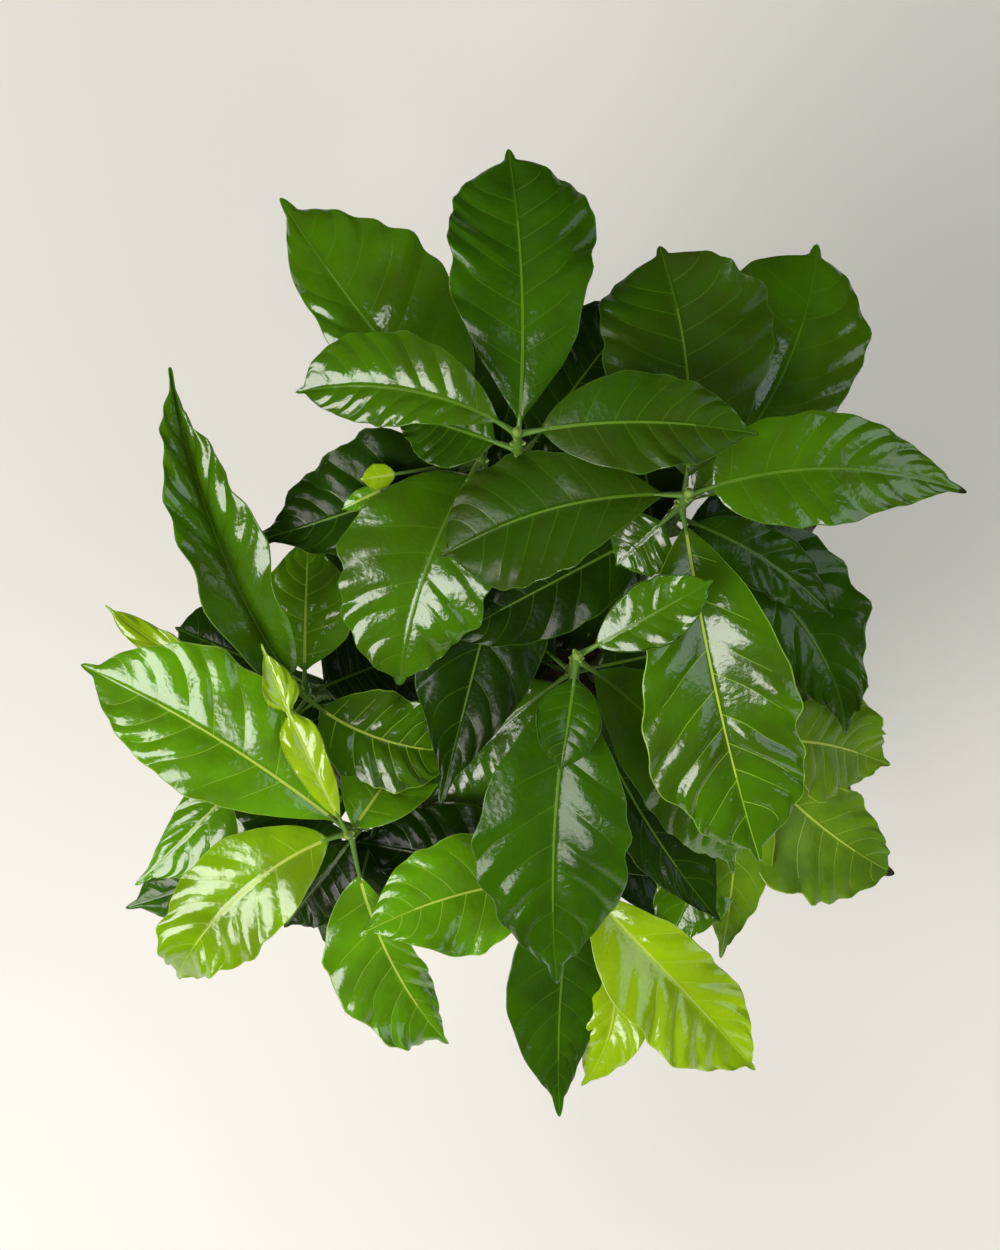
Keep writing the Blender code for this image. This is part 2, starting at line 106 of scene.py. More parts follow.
# Leaves
PETIOLE = 9.0
PETIOLE_HALF_WIDTH = 1.2
PETIOLE_THICKNESS = 2.2
TIP_HALF_WIDTH = 0.5
LEAF_THICKNESS = 1.2
LEAF_SLENDERNESS = 95.0
FOLD = 8.0
FULLNESS = 1.55
BELLY = 0.48
DRIP_TIP = 0.05
TAIL_FROM = 0.6
TAIL_LENGTH = 0.2
TAIL_WIDTH = 0.16
PINCH_LENGTH = 0.06
PINCH_DEPTH = 0.86
PAST_PINCH_WIDTH = 1.25
LEAF_RING = 6
REACH = 0.36
UPPER_SHARES = (0.0, 0.12, 0.28, 0.45, 0.62, 0.78, 0.9, 1.0)
LOWER_SHARES = (0.0, 0.2, 0.45, 0.7, 0.9, 1.0)
CURVE_POINTS = 121

# Lower leaves, in opposite pairs down each stem under the leaves that show from above
SEED = 5
PAIR_STEP = 23.0
PAIR_TURN = 90.0
PAIR_ABOVE_CUT = 12.0
PAIR_JITTER = 20.0
LOWER_LENGTHS = (95.0, 82.0, 68.0)
LOWER_SWINGS = (0.0, 25.0, -25.0, 50.0, -50.0)
LOWER_DROPS = (25.0, 45.0, 10.0, 60.0)
LOWER_LAUNCH = 10.0
LOWER_DIP = -30.0
LOWER_WIDTH = 0.43
LOWER_CLEARANCE = 3.0
LOWEST_TIP = 140.0
SHADE_SHARES = (0.15, 0.35, 0.55, 0.75, 0.9, 1.0)
SHADE_NEEDED = 0.9
OVERHEAD = (-25.0, 52.0, 1230.0)

# Camera and lights, in metres: each light's name, heading, distance, size, power and colour
CAMERA_AT = (-0.025, 0.052, 1.230)
CAMERA_LENS = 70.0
ROOM_COLOUR = (0.94, 1.0, 0.86)
LIGHT_AIM = (0.0, 0.05, 0.22)
WEAK_SHARE = 1.9
LIGHTS = (
    ("key_light", (-0.80, -0.62, 0.95), 1.8, 1.15, "key", (1.0, 0.97, 0.94)),
    ("cool_fill", (0.95, -0.10, 0.85), 2.0, 1.3, "fill", (0.84, 0.93, 1.0)),
    ("back_fill", (-0.45, 0.90, 1.1), 2.2, 1.6, "weak", (1.0, 0.99, 0.94)),
    ("front_fill", (0.55, -0.95, 1.0), 2.2, 1.6, "weak", (1.0, 0.98, 0.93)),
)


def leaf(height, tip, width, launch, dip, tone="mid", bow=0, roll=0, belly=BELLY, skew=0.0,
         waist=None, petiole=PETIOLE, full=FULLNESS, fold=FOLD, twist=0, wave=1.0, puff=1.0,
         pairs=7, dry=0.0, pale=False):
    """One leaf: where it leaves its stem, where its tip lies and how the blade is shaped.

    height is the node's height, launch and dip are the pitches at base and tip, bow
    bends it sideways, roll turns it about its midrib, belly is where along the blade
    it is widest, skew widens its left half and waist is where it is pinched. A higher
    full makes it more pointed, fold raises its halves from the midrib and twist turns
    it from base to tip. wave and puff scale its margin's waves and the swellings
    between its veins, pairs counts its side veins, dry is the dry share of its tip and
    pale gives it the light veins of a new leaf.
    """
    return dict(height=height, tip=tip, width=width, launch=launch, dip=dip, tone=tone, bow=bow,
                roll=roll, belly=belly, skew=skew, waist=waist, petiole=petiole, full=full,
                fold=fold, twist=twist, wave=wave, puff=puff, pairs=pairs, dry=dry, pale=pale)


# Each seedling's root, tip, bare height, first pair of lower leaves and leaves seen from above
SEEDLINGS = {
    "back": dict(
        root=(-8, 34), tip=(-19, 120, 375), cut=212, pairs_from=306,
        leaves=(
            leaf(371, (-98, 135, 362), 33, 30, -25, "mid", bow=-22, belly=0.58, skew=-0.2),
            leaf(371, (66, 119, 376), 35, 18, -8, "bronze", bow=10, wave=0.9, puff=0.6),
            leaf(356, (-22, 224, 352), 53, 28, -25, "deep", bow=-7, belly=0.64, wave=1.5, puff=0.7,
                 pairs=8),
            leaf(347, (-64, 131, 342), 30, 5, -12, "deep"),
            leaf(330, (29, 176, 300), 45, 10, -30, "dark"),
            leaf(300, (-48, -17, 299), 47, 6, -8, "dark", belly=0.45, full=2.2),
        ),
    ),
    "back_right": dict(
        root=(20, 30), tip=(42, 99, 367), cut=226, pairs_from=290,
        leaves=(
            leaf(362, (144, 100, 350), 41, 10, -22, "mid", bow=19, belly=0.37, puff=0.6,
                 pairs=8, dry=0.04),
            leaf(362, (-47, 77, 342), 48, 0, -16, "bronze", bow=-16, roll=12, belly=0.62, skew=0.05,
                 puff=0.35),
            leaf(352, (33, 190, 345), 62, 22, -20, "bronze", bow=-12, belly=0.62, skew=-0.02,
                 full=1.4, wave=1.4, puff=0.6),
            leaf(325, (94, 195, 318), 63, 22, -22, "mid", bow=-22, belly=0.62, skew=0.2, wave=1.3,
                 puff=0.7),
            leaf(345, (74, -38, 305), 59, 12, -32, "mid", bow=-6, belly=0.55, fold=16, wave=1.5,
                 puff=1.6, pairs=8, pale=True),
            leaf(340, (18, 74, 326), 28, 5, -20, "mid"),
            leaf(315, (-47, 46, 312), 38, 10, -15, "dark"),
            leaf(300, (111, 9, 272), 46, 5, -45, "deep", bow=35, belly=0.38, skew=0.15, wave=2.4),
            leaf(322, (102, 55, 305), 24, 10, -20, "deep", bow=12, wave=1.5, pairs=5),
            leaf(310, (70, 66, 290), 34, -5, -25, "dark"),
        ),
    ),
    "middle": dict(
        root=(6, 6), tip=(3, 41, 351), cut=212, pairs_from=268,
        leaves=(
            leaf(348, (51, 68, 364), 24, 35, 5, "mid", belly=0.55, puff=0.7, pairs=6),
            leaf(348, (-3, -1, 350), 24, 25, -25, "deep", wave=0.3, puff=0.5, pairs=6),
            leaf(335, (-3, -86, 295), 57, 15, -40, "deep", bow=-9, belly=0.5, full=2.1, wave=1.2,
                 puff=1.3),
            leaf(328, (68, -47, 262), 44, 0, -40, "mid", bow=20),
            leaf(272, (-56, -22, 248), 42, 0, -15, "mid", bow=-8, skew=0.2),
            leaf(262, (-46, 52, 246), 36, 0, -25, "dark"),
            leaf(275, (64, -68, 248), 34, 5, -30, "dark", bow=-10, skew=0.25),
        ),
    ),
    "front_left": dict(
        root=(-32, -10), tip=(-83, -28, 302), cut=192, pairs_from=270,
        leaves=(
            leaf(297, (-184, 37, 308), 53, 25, -15, "fresh", bow=-9, belly=0.56, skew=-0.1,
                 full=1.8, puff=1.3),
            leaf(297, (-153, -89, 262), 41, 20, -60, "lime", bow=-30, full=1.5, wave=1.3),
            leaf(299, (-46, 24, 262), 38, -14, -22, "fresh", skew=0.1, petiole=3.0, fold=10,
                 wave=0.8),
            leaf(302, (-114, 45, 324), 15, 30, 10, "young", bow=3, waist=0.62, pairs=6),
            leaf(296, (-46, -120, 232), 36, -35, -40, "fresh", bow=-16, belly=0.5, skew=-0.4,
                 petiole=22.0, twist=-20, wave=1.8),
            leaf(270, (-177, -63, 243), 42, 5, -20, "deep"),
            leaf(284, (-137, -5, 278), 34, 10, -10, "deep"),
            leaf(272, (-112, -70, 250), 34, 0, -25, "dark"),
        ),
    ),
    "left": dict(
        root=(-42, 14), tip=(-104, 27, 297), cut=186, pairs_from=246,
        leaves=(
            leaf(290, (-148, 148, 325), 44, 45, 10, "mid", bow=12, roll=5, belly=0.42, fold=57,
                 wave=1.4),
            leaf(280, (-99, 93, 284), 38, 30, -20, "fresh", belly=0.42, full=2.6, wave=1.5),
            leaf(262, (-182, 60, 262), 13, -5, 10, "young", bow=20, belly=0.6, twist=60, wave=1.5,
                 pairs=4),
            leaf(248, (-158, 51, 236), 32, 5, -25, "dark", belly=0.7),
            leaf(268, (-64, 40, 258), 46, 10, -20, "dark", belly=0.4, petiole=5.0),
            leaf(290, (-39, 3, 283), 38, 26, -16, "mid", bow=-22, petiole=12.0, fold=10, wave=1.6,
                 puff=1.6, pale=True),
            leaf(268, (-171, -52, 258), 36, 10, -25, "fresh", bow=6, skew=0.35, full=2.2),
        ),
    ),
    "back_left": dict(
        root=(-24, 42), tip=(-32, 116, 335), cut=200, pairs_from=286,
        leaves=(
            leaf(328, (-107, 211, 325), 50, 22, -22, "mid", bow=6, belly=0.5, skew=-0.35,
                 full=1.8),
            leaf(322, (-63, 29, 305), 57, 34, -50, "mid", bow=-16, belly=0.47, skew=-0.12,
                 full=1.5, fold=5, wave=1.3),
            leaf(316, (-121, 83, 307), 46, 10, -20, "dark", bow=4, belly=0.38, skew=-0.15,
                 full=2.1, wave=2.0),
            leaf(318, (-84, 95, 324), 8, 20, -25, "fresh", bow=-8, petiole=40.0, wave=0.2, puff=0.2,
                 pairs=3),
            leaf(318, (-77, 106, 328), 10, 20, 0, "young", petiole=34.0, wave=0.2, puff=0.2,
                 pairs=3),
        ),
    ),
    "right": dict(
        root=(42, 2), tip=(72, 8, 290), cut=184, pairs_from=246,
        leaves=(
            leaf(285, (134, -5, 240), 42, 10, -25, "olive", bow=10, wave=1.6, puff=1.2),
            leaf(262, (128, 27, 222), 38, 10, -25, "olive", wave=1.6, puff=1.2),
            leaf(262, (67, -87, 216), 31, 5, -45, "olive", bow=3, belly=0.4, full=2.0, puff=0.6),
            leaf(252, (140, -52, 214), 50, 5, -40, "olive", bow=-12, skew=-0.25, wave=1.3,
                 puff=0.6, dry=0.06),
            leaf(252, (42, -84, 225), 36, 0, -30, "fresh", bow=8, puff=0.6),
            leaf(288, (105, 11, 262), 16, 0, -30, "dark", pairs=5),
        ),
    ),
    "front": dict(
        root=(4, -32), tip=(5, -49, 272), cut=180, pairs_from=238,
        leaves=(
            leaf(268, (80, -131, 230), 43, 8, -35, "young", bow=3, belly=0.5, skew=-0.2, fold=18,
                 wave=1.5, puff=1.6),
            leaf(268, (-80, -69, 283), 47, 20, -8, "fresh", bow=-16, full=2.0, puff=0.7),
            leaf(250, (0, -154, 212), 41, 0, -35, "deep", bow=-6, roll=-12, belly=0.38, skew=-0.1,
                 full=2.0, fold=2, wave=0.6, puff=0.6),
            leaf(245, (9, -141, 212), 33, 0, -40, "young", bow=40),
            leaf(262, (-82, -35, 254), 44, 5, -15, "dark"),
        ),
    ),
}

# Finishes that aren't fully glossy: added roughness, specular level and coat
FINISHES = {"dark": (0.08, 0.2, 0.05), "bronze": (0.16, 0.2, 0.03), "deep": (0.05, 0.38, 0.04),
            "olive": (0.16, 0.15, 0.0)}

# Patches on a leaf: how its colour changes there
PLAIN_FADE = (0.72, 0.66, 0.7)
FADES = {"bronze": (1.15, 0.8, 1.3), "mid": (0.85, 0.7, 0.9), "olive": (0.6, 0.68, 0.8),
         "young": (0.85, 0.84, 0.8)}

# Leaf finishes in the order of a blade's material slots
TONES = ("dark", "bronze", "deep", "mid", "fresh", "lime", "young", "olive")
PALE_VEINED = ("fresh", "lime", "young", "olive")
BLADE_SKINS = (list(TONES) + [tone + "_vein" for tone in TONES]
               + ["rib_green", "rib_pale", "underside", "dry"])


# Curves and leaf shapes, in millimetres, by the same rule as the solids

def bezier(points, share):
    """Points of a cubic curve at shares from 0 to 1."""
    p0, p1, p2, p3 = (np.asarray(p, float) for p in points)
    t = np.asarray(share, float)[:, None]
    u = 1.0 - t
    return u**3 * p0 + 3 * u**2 * t * p1 + 3 * u * t**2 * p2 + t**3 * p3


def direction(heading, pitch):
    """Unit vector of a heading and a pitch in degrees."""
    h = math.radians(heading)
    p = math.radians(pitch)
    return np.array([math.cos(p) * math.cos(h), math.cos(p) * math.sin(h), math.sin(p)])


def stem_point(seedling, height):
    """Point of a stem's axis: it leans out from its root and then grows upright."""
    x0, y0 = seedling["root"]
    x1, y1, top = seedling["tip"]
    rise = (height - SOIL_TOP) / (top - SOIL_TOP)
    lean = (1 + STEM_CURVE) * rise - STEM_CURVE * rise * rise
    return np.array([x0 + (x1 - x0) * lean, y0 + (y1 - y0) * lean, height])


def leaf_curve(seedling, row):
    """Control points of a leaf's midrib, from the stem's axis to the tip."""
    node = stem_point(seedling, row["height"])
    tip = np.array(row["tip"], float)
    chord = tip - node
    heading = math.degrees(math.atan2(chord[1], chord[0]))
    reach = REACH * np.linalg.norm(chord)
    return (node, node + reach * direction(heading + row["bow"], row["launch"]),
            tip - reach * direction(heading - row["bow"], row["dip"]), tip)


def blade_profile(share, row):
    """Half width of the blade as a part of its widest, from base (0) to tip (1)."""
    body = np.clip(share / (1 - DRIP_TIP), 0, 1)
    belly = row["belly"]
    rise = row["full"] * belly
    fall = row["full"] * (1 - belly)
    shape = body**rise * (1 - body)**fall / (belly**rise * (1 - belly)**fall)
    tail = TAIL_WIDTH * np.sqrt(np.clip((1 - share) / TAIL_LENGTH, 0, 1))
    shape = np.maximum(shape, tail * (share > TAIL_FROM))
    if row["waist"]:
        past = share - row["waist"]
        pinch = PINCH_DEPTH * np.exp(-(past / PINCH_LENGTH)**2)
        shape = shape * (1 - pinch) * np.where(past > 0, PAST_PINCH_WIDTH, 1.0)
    return shape


def measured_midrib(seedling, row):
    """Close points along a leaf's midrib and how far along it each one is."""
    fine = bezier(leaf_curve(seedling, row), np.linspace(0, 1, CURVE_POINTS))
    return fine, np.concatenate([[0], np.cumsum(np.linalg.norm(np.diff(fine, axis=0), axis=1))])


def at_lengths(wanted, run, values):
    """Values along a midrib at the lengths wanted."""
    return np.stack([np.interp(wanted, run, values[:, k]) for k in range(3)], axis=1)


def leaf_stations(seedling, row, shares):
    """Midrib points, side and normal vectors, half widths and length of a leaf."""
    fine, run = measured_midrib(seedling, row)
    length = run[-1]
    shares = np.asarray(shares, float)
    wanted = row["petiole"] + (length - row["petiole"]) * shares
    mid = at_lengths(wanted, run, fine)
    along = at_lengths(wanted, run, np.gradient(fine, run, axis=0))
    along /= np.linalg.norm(along, axis=1)[:, None]
    level = np.cross([0.0, 0.0, 1.0], along)
    level /= np.linalg.norm(level, axis=1)[:, None]
    up = np.cross(along, level)
    roll = np.radians(row["roll"] + row["twist"] * (shares - 0.5))[:, None]
    side = np.cos(roll) * level + np.sin(roll) * up
    normal = np.cos(roll) * up - np.sin(roll) * level
    half = 0.5 * row["width"] * blade_profile(shares, row)
    return mid, side, normal, half, length


def leaf_solid(seedling, row, shares=UPPER_SHARES, pad=0.0):
    """Vertices and faces of one plain leaf: a petiole from the stem's axis, then the blade."""
    mid, side, normal, half, length = leaf_stations(seedling, row, shares)
    node = stem_point(seedling, row["height"])
    thin = max(LEAF_THICKNESS, length / LEAF_SLENDERNESS)
    last = len(shares) - 1
    sections = [(node, side[0], normal[0], PETIOLE_HALF_WIDTH, 0.0, PETIOLE_THICKNESS)]
    for k in range(len(shares)):
        wide = TIP_HALF_WIDTH if k == last else max(half[k], PETIOLE_HALF_WIDTH)
        thick = PETIOLE_THICKNESS if k == 0 else thin
        sections.append((mid[k], side[k], normal[k], wide, math.radians(row["fold"]), thick))
    points = []
    for centre, across, up, wide, fold, thick in sections:
        lift = math.sin(fold) * up
        spread = math.cos(fold) * across
        left = centre + (wide * (1 + row["skew"]) + pad) * (spread + lift)
        right = centre + (wide * (1 - row["skew"]) + pad) * (lift - spread)
        half_up = (0.5 * thick + pad) * up
        points += [left + half_up, centre + half_up, right + half_up,
                   right - half_up, centre - half_up, left - half_up]
    faces = ring_faces(len(sections), LEAF_RING)
    end = LEAF_RING * (len(sections) - 1)
    faces += [(0, 5, 4, 1), (1, 4, 3, 2), (end, end + 1, end + 4, end + 5),
              (end + 1, end + 2, end + 3, end + 4)]
    return np.array(points), faces


def lower_leaf(seedling, height, heading, length, drop):
    """A plain arching leaf on a lower node."""
    across = math.sqrt(length**2 - drop**2)
    tip = stem_point(seedling, height) + across * direction(heading, 0) - np.array([0, 0, drop])
    # Lower leaves take the Dark tone, whose extra darkness paints the shade they lie in
    return leaf(height, tuple(tip), LOWER_WIDTH * length, LOWER_LAUNCH, LOWER_DIP, "dark")


def tree_of(points, faces):
    """Search tree of a closed shape."""
    return BVHTree.FromPolygons(points.tolist(), faces)


def is_shaded(seedling, row, canopy):
    """True where enough of a leaf lies under the canopy, seen from overhead."""
    mid, side, _, half, _ = leaf_stations(seedling, row, SHADE_SHARES)
    spread = half[:, None] * side
    points = np.concatenate([mid, mid + spread, mid - spread])
    hits = 0
    for point in points:
        towards = np.array(OVERHEAD) - point
        towards /= np.linalg.norm(towards)
        if canopy.ray_cast(tuple(point + LOWER_CLEARANCE * towards), tuple(towards))[0]:
            hits += 1
    return hits >= SHADE_NEEDED * len(points)


def is_clear(seedling, row, others, own):
    """True where a padded leaf touches no other seedling and no leaf of its own stem."""
    points, faces = leaf_solid(seedling, row, LOWER_SHARES, LOWER_CLEARANCE)
    whole = tree_of(points, faces)
    blade = tree_of(points, [face for face in faces if min(face) >= LEAF_RING])
    return not (any(whole.overlap(tree) for tree in others)
                or any(blade.overlap(tree) for tree in own))


def lower_leaves():
    """Lower leaves of every seedling by name, kept only where they are shaded and clear."""
    rng = random.Random(SEED)
    stems = {}
    leaves = {}
    canopy_points = []
    canopy_faces = []
    for name, seedling in SEEDLINGS.items():
        heights, radii = bare_stem_rings(seedling)
        green, slim = green_stem_rings(seedling)
        stems[name] = [tree_of(*stem_solid(seedling, heights, radii)),
                       tree_of(*stem_solid(seedling, green, slim))]
        leaves[name] = []
        for row in seedling["leaves"]:
            points, faces = leaf_solid(seedling, row)
            leaves[name].append(tree_of(points, faces))
            start = len(canopy_points)
            canopy_points += points.tolist()
            canopy_faces += [tuple(start + v for v in face) for face in faces]
    canopy = BVHTree.FromPolygons(canopy_points, canopy_faces)
    kept = {name: [] for name in SEEDLINGS}
    for level in range(max_pairs()):
        for name, seedling in SEEDLINGS.items():
            height = seedling["pairs_from"] - PAIR_STEP * level
            start = PAIR_TURN * level + rng.uniform(-PAIR_JITTER, PAIR_JITTER)
            if height < seedling["cut"] + PAIR_ABOVE_CUT:
                continue
            others = [tree for key in SEEDLINGS if key != name for tree in stems[key] + leaves[key]]
            for side in (0, 180):
                row = first_fit(seedling, height, start + side, others, leaves[name], canopy)
                if row:
                    kept[name].append(row)
                    leaves[name].append(tree_of(*leaf_solid(seedling, row, LOWER_SHARES)))
    return kept


def max_pairs():
    """Most pairs of lower leaves that any stem has room for."""
    spans = [s["pairs_from"] - s["cut"] - PAIR_ABOVE_CUT for s in SEEDLINGS.values()]
    return 1 + int(max(spans) // PAIR_STEP)


def first_fit(seedling, height, heading, others, own, canopy):
    """Longest lower leaf near a heading that is shaded and clear, or nothing."""
    for length in LOWER_LENGTHS:
        for swing in LOWER_SWINGS:
            for drop in LOWER_DROPS:
                if height - drop < LOWEST_TIP:
                    continue
                row = lower_leaf(seedling, height, heading + swing, length, drop)
                if is_shaded(seedling, row, canopy) and is_clear(seedling, row, others, own):
                    return row
    return None


def ring_faces(rings, sides):
    """Faces between rings of points that follow each other."""
    faces = []
    for i in range(rings - 1):
        low = sides * i
        high = low + sides
        for j in range(sides):
            k = (j + 1) % sides
            faces.append((low + j, low + k, high + k, high + j))
    return faces


def capped_rings(rings, sides):
    """Faces between rings of points that follow each other, with both ends closed."""
    faces = ring_faces(rings, sides)
    faces.append(tuple(reversed(range(sides))))
    faces.append(tuple(range(sides * (rings - 1), sides * rings)))
    return faces


def stem_radius(seedling, height):
    """Radius of a stem: flared at the soil, woody below its cut, slim at the tip."""
    cut = seedling["cut"]
    if height <= cut:
        share = (height - SOIL_TOP) / (cut - SOIL_TOP)
        flare = FLARE_RADIUS * math.exp(-(height - SOIL_TOP) / FLARE_HEIGHT)
        return WOOD_RADIUS + (CUT_RADIUS - WOOD_RADIUS) * share + flare
    share = (height - cut) / (seedling["tip"][2] - cut)
    return CUT_RADIUS + (TIP_RADIUS - CUT_RADIUS) * share


def stem_heights(low, high):
    """Levels of a stem's rings between two heights."""
    steps = max(2, round((high - low) / STEM_STEP))
    return np.linspace(low, high, steps + 1)


def bare_stem_rings(seedling):
    """Heights and radii of the bare woody stem, from its flat foot to its cut."""
    foot = SOIL_TOP + CLEARANCE
    cut = seedling["cut"]
    heights = [foot, foot + FLARE_RING_HEIGHT, foot + FLARE_HEIGHT]
    heights += list(stem_heights(foot + 2 * FLARE_HEIGHT, cut))
    return heights, [stem_radius(seedling, height) for height in heights]


def green_stem_rings(seedling):
    """Heights and radii of the green stem above the cut, with its end bud."""
    top = seedling["tip"][2]
    heights = list(stem_heights(seedling["cut"] + CLEARANCE, top))
    radii = [stem_radius(seedling, height) for height in heights]
    return heights + [top + BUD_HEIGHT], radii + [BUD_RADIUS]


def stem_solid(seedling, heights, radii):
    """Vertices and faces of a stem with level rings at the heights given."""
    points = []
    for height, radius in zip(heights, radii):
        centre = stem_point(seedling, height)
        for k in range(STEM_SIDES):
            points.append(centre + radius * direction(360.0 * k / STEM_SIDES, 0))
    return np.array(points), capped_rings(len(heights), STEM_SIDES)


# Finished leaves, puffed between the side veins, waved at the margin and veined on top
BLADE_THICKNESS = 0.5
EXTRA_FOLD = 4.0
RECURVE = 0.14
RIB_HALF_WIDTH = 0.5
RIB_DEPTH = 1.1
RIB_RIDGE = 0.3
VEIN_HALF_WIDTH = 0.24
VEIN_TAPER = 0.6
VEIN_FROM = 0.08
VEIN_TO = 0.88
VEIN_REACH = 0.8
SWEEP = 0.19
# Width of the pale strip along a blade's margin: the edge's own lighter colour, partly a painted
# bright rim of light through it
MARGIN_STRIP = 0.4
SWEEP_PARTS = (0.55, 0.45)
LEAST_HALF_WIDTH = 0.12
BASE_HALF_WIDTH = 0.7
BASE_SHARE = 0.1
PUFF_HEIGHT = 0.95
PUFF_SHARPNESS = 0.6
PUFF_RANGE = (0.1, 1.5)
PUFF_INNER = 0.22
PUFF_FADE = 0.75
PUCKER_INNER = 0.15
RIB_TAPER = (1.25, 0.85)
RIB_MOST = 0.35
RIB_DEPTH_TAPER = (1.1, 0.8)
PALE_RIB_TO = 0.7
MARGIN_THIN = 0.7
VEIN_MARK_ENDS = (-0.02, 1.02)
BODY_RANGE = (0.02, 0.98)
VEIN_CROWDING = 0.92
LEFT_VEIN_SHIFT = (-0.12, 0.12)
RIGHT_VEIN_SHIFT = (0.22, 0.48)
TURN_SPREAD = (0.85, 1.15)
WAVE_FALL = 0.6
WAVE_GAIN = 0.7
LOCKED_WAVE = 0.6
SLOW_WAVE = 2.1
SLOW_TURNS = (0.9, 1.7, 2.8, 4.3)
QUICK_TURNS = (2.2, 4.1, 6.3, 8.6)
SCALLOP = 0.014
LOOSE_EDGE = 0.075
PUCKER_HEIGHT = 0.07
PUCKER_LENGTHS = (4.0, 9.0)
SWELL_HEIGHT = 1.0
SWELL_LENGTHS = (18.0, 40.0)
PUCKER_WAVES = 14
FINE_ROW = 1.8
COARSE_ROW = 5.0
FINE_COLUMNS = (0.06, 0.13, 0.21, 0.29, 0.37, 0.45, 0.53, 0.61, 0.69, 0.77, 0.85, 0.92, 0.97)
COARSE_COLUMNS = (0.15, 0.4, 0.65, 0.88)

# Leaf stalks, green stems and bark
STALK_START = 0.5
STALK_IN_BLADE = 3.0
STALK_RINGS = 8
STALK_SIDES = 8
STALK_DROP = 0.35
STALK_RADIUS = 1.25
STALK_TAPER = 0.55
STALK_SWELL = 0.5
STALK_SWELL_LENGTH = 0.12
STALK_FULL_AT = 26.0
GREEN_RING_STEP = 1.6
GREEN_SIDES = 14
NODE_SWELL = 0.55
NODE_LENGTH = 2.4
MOST_SWELL = 0.6
BUD_SHAPE = (1.0, 1.12, 1.15, 1.05, 0.88, 0.68, 0.46, 0.25, 0.06)
BUD_SIDES = 12
SCALE_HEIGHT = 3.2
SCALE_RADII = (1.1, 1.0, 0.75, 0.45, 0.08)
SCALE_SIDES = 8
BARK_RING_STEP = 1.1
BARK_SIDES = 26
BARK_WAVES = 16
BARK_LEAN = 0.06
BARK_DRIFT = (0.05, 0.25)
SCAR_STEP = 19.0
SCAR_HEIGHT = 0.42
SCAR_GROOVE = 0.16


class Builder:
    """Points, faces and material numbers of one piece, gathered from many small shapes."""

    def __init__(self):
        self.points = []
        self.faces = []
        self.skins = []
        self.count = 0

    def add(self, points, faces, skins):
        """Add a shape: an array of points, faces by its own numbers, a skin for each face."""
        self.points.append(np.asarray(points, float))
        self.faces += [tuple(v + self.count for v in face) for face in faces]
        if isinstance(skins, int):
            skins = [skins] * len(faces)
        self.skins += list(skins)
        self.count += len(points)

    def build(self, name, materials):
        """Smooth-shaded object of everything added, in metres, with its materials."""
        mesh = bpy.data.meshes.new(name)
        points = np.concatenate(self.points) * MM
        mesh.from_pydata(points.tolist(), [], self.faces)
        for skin in materials:
            mesh.materials.append(skin)
        mesh.polygons.foreach_set("material_index", np.array(self.skins, np.int32))
        mesh.shade_smooth()
        mesh.update()
        made = bpy.data.objects.new(name, mesh)
        bpy.context.scene.collection.objects.link(made)
        return made


def pucker_field(rng, x, y, lengths):
    """Small swellings from crossing waves of random lengths and headings."""
    total = np.zeros_like(x)
    for _ in range(PUCKER_WAVES):
        wave = 2 * math.pi / rng.uniform(*lengths)
        turn = rng.uniform(0, math.pi)
        shift = rng.uniform(0, 2 * math.pi)
        total += np.sin(wave * (x * math.cos(turn) + y * math.sin(turn)) + shift)
    return total / math.sqrt(PUCKER_WAVES)


def edge_wave(rng, x, turn_counts):
    """Wave along one margin: a few turns of falling height and random shift."""
    total = np.zeros_like(x)
    for turns in turn_counts:
        turns *= rng.uniform(*TURN_SPREAD)
        total += np.sin(2 * math.pi * (turns * x + rng.random())) / turns**WAVE_FALL
    return WAVE_GAIN * total


def vein_starts(rng, pairs):
    """Where the side veins leave the midrib on the left and on the right, base to tip."""
    base = np.linspace(0, 1, pairs + 1)[:-1]
    base = VEIN_FROM + (VEIN_TO - VEIN_FROM) * base**VEIN_CROWDING
    gap = (VEIN_TO - VEIN_FROM) / pairs
    left = base + gap * np.array([rng.uniform(*LEFT_VEIN_SHIFT) for _ in range(pairs)])
    right = base + gap * np.array([rng.uniform(*RIGHT_VEIN_SHIFT) for _ in range(pairs)])
    return left, right


def blade_rows(left, right, length, spacing):
    """Rows across a blade: start, half width of a vein's edge and vein side (-1, 0 or 1)."""
    edge = VEIN_HALF_WIDTH / length
    rows = [(0.0, 0.0, 0)]
    veins = sorted([(s, 1) for s in left] + [(s, -1) for s in right])
    for start, side in veins + [(1.0, 0)]:
        before = rows[-1][0] + (edge if len(rows) > 1 else 0.0)
        steps = max(1, round((start - before) * length / spacing))
        for k in range(1, steps):
            rows.append((before + (start - before) * k / steps, 0.0, 0))
        if side:
            rows.append((start, -edge, side))
            rows.append((start, edge, 0))
        else:
            rows.append((1.0, 0.0, 0))
    return rows


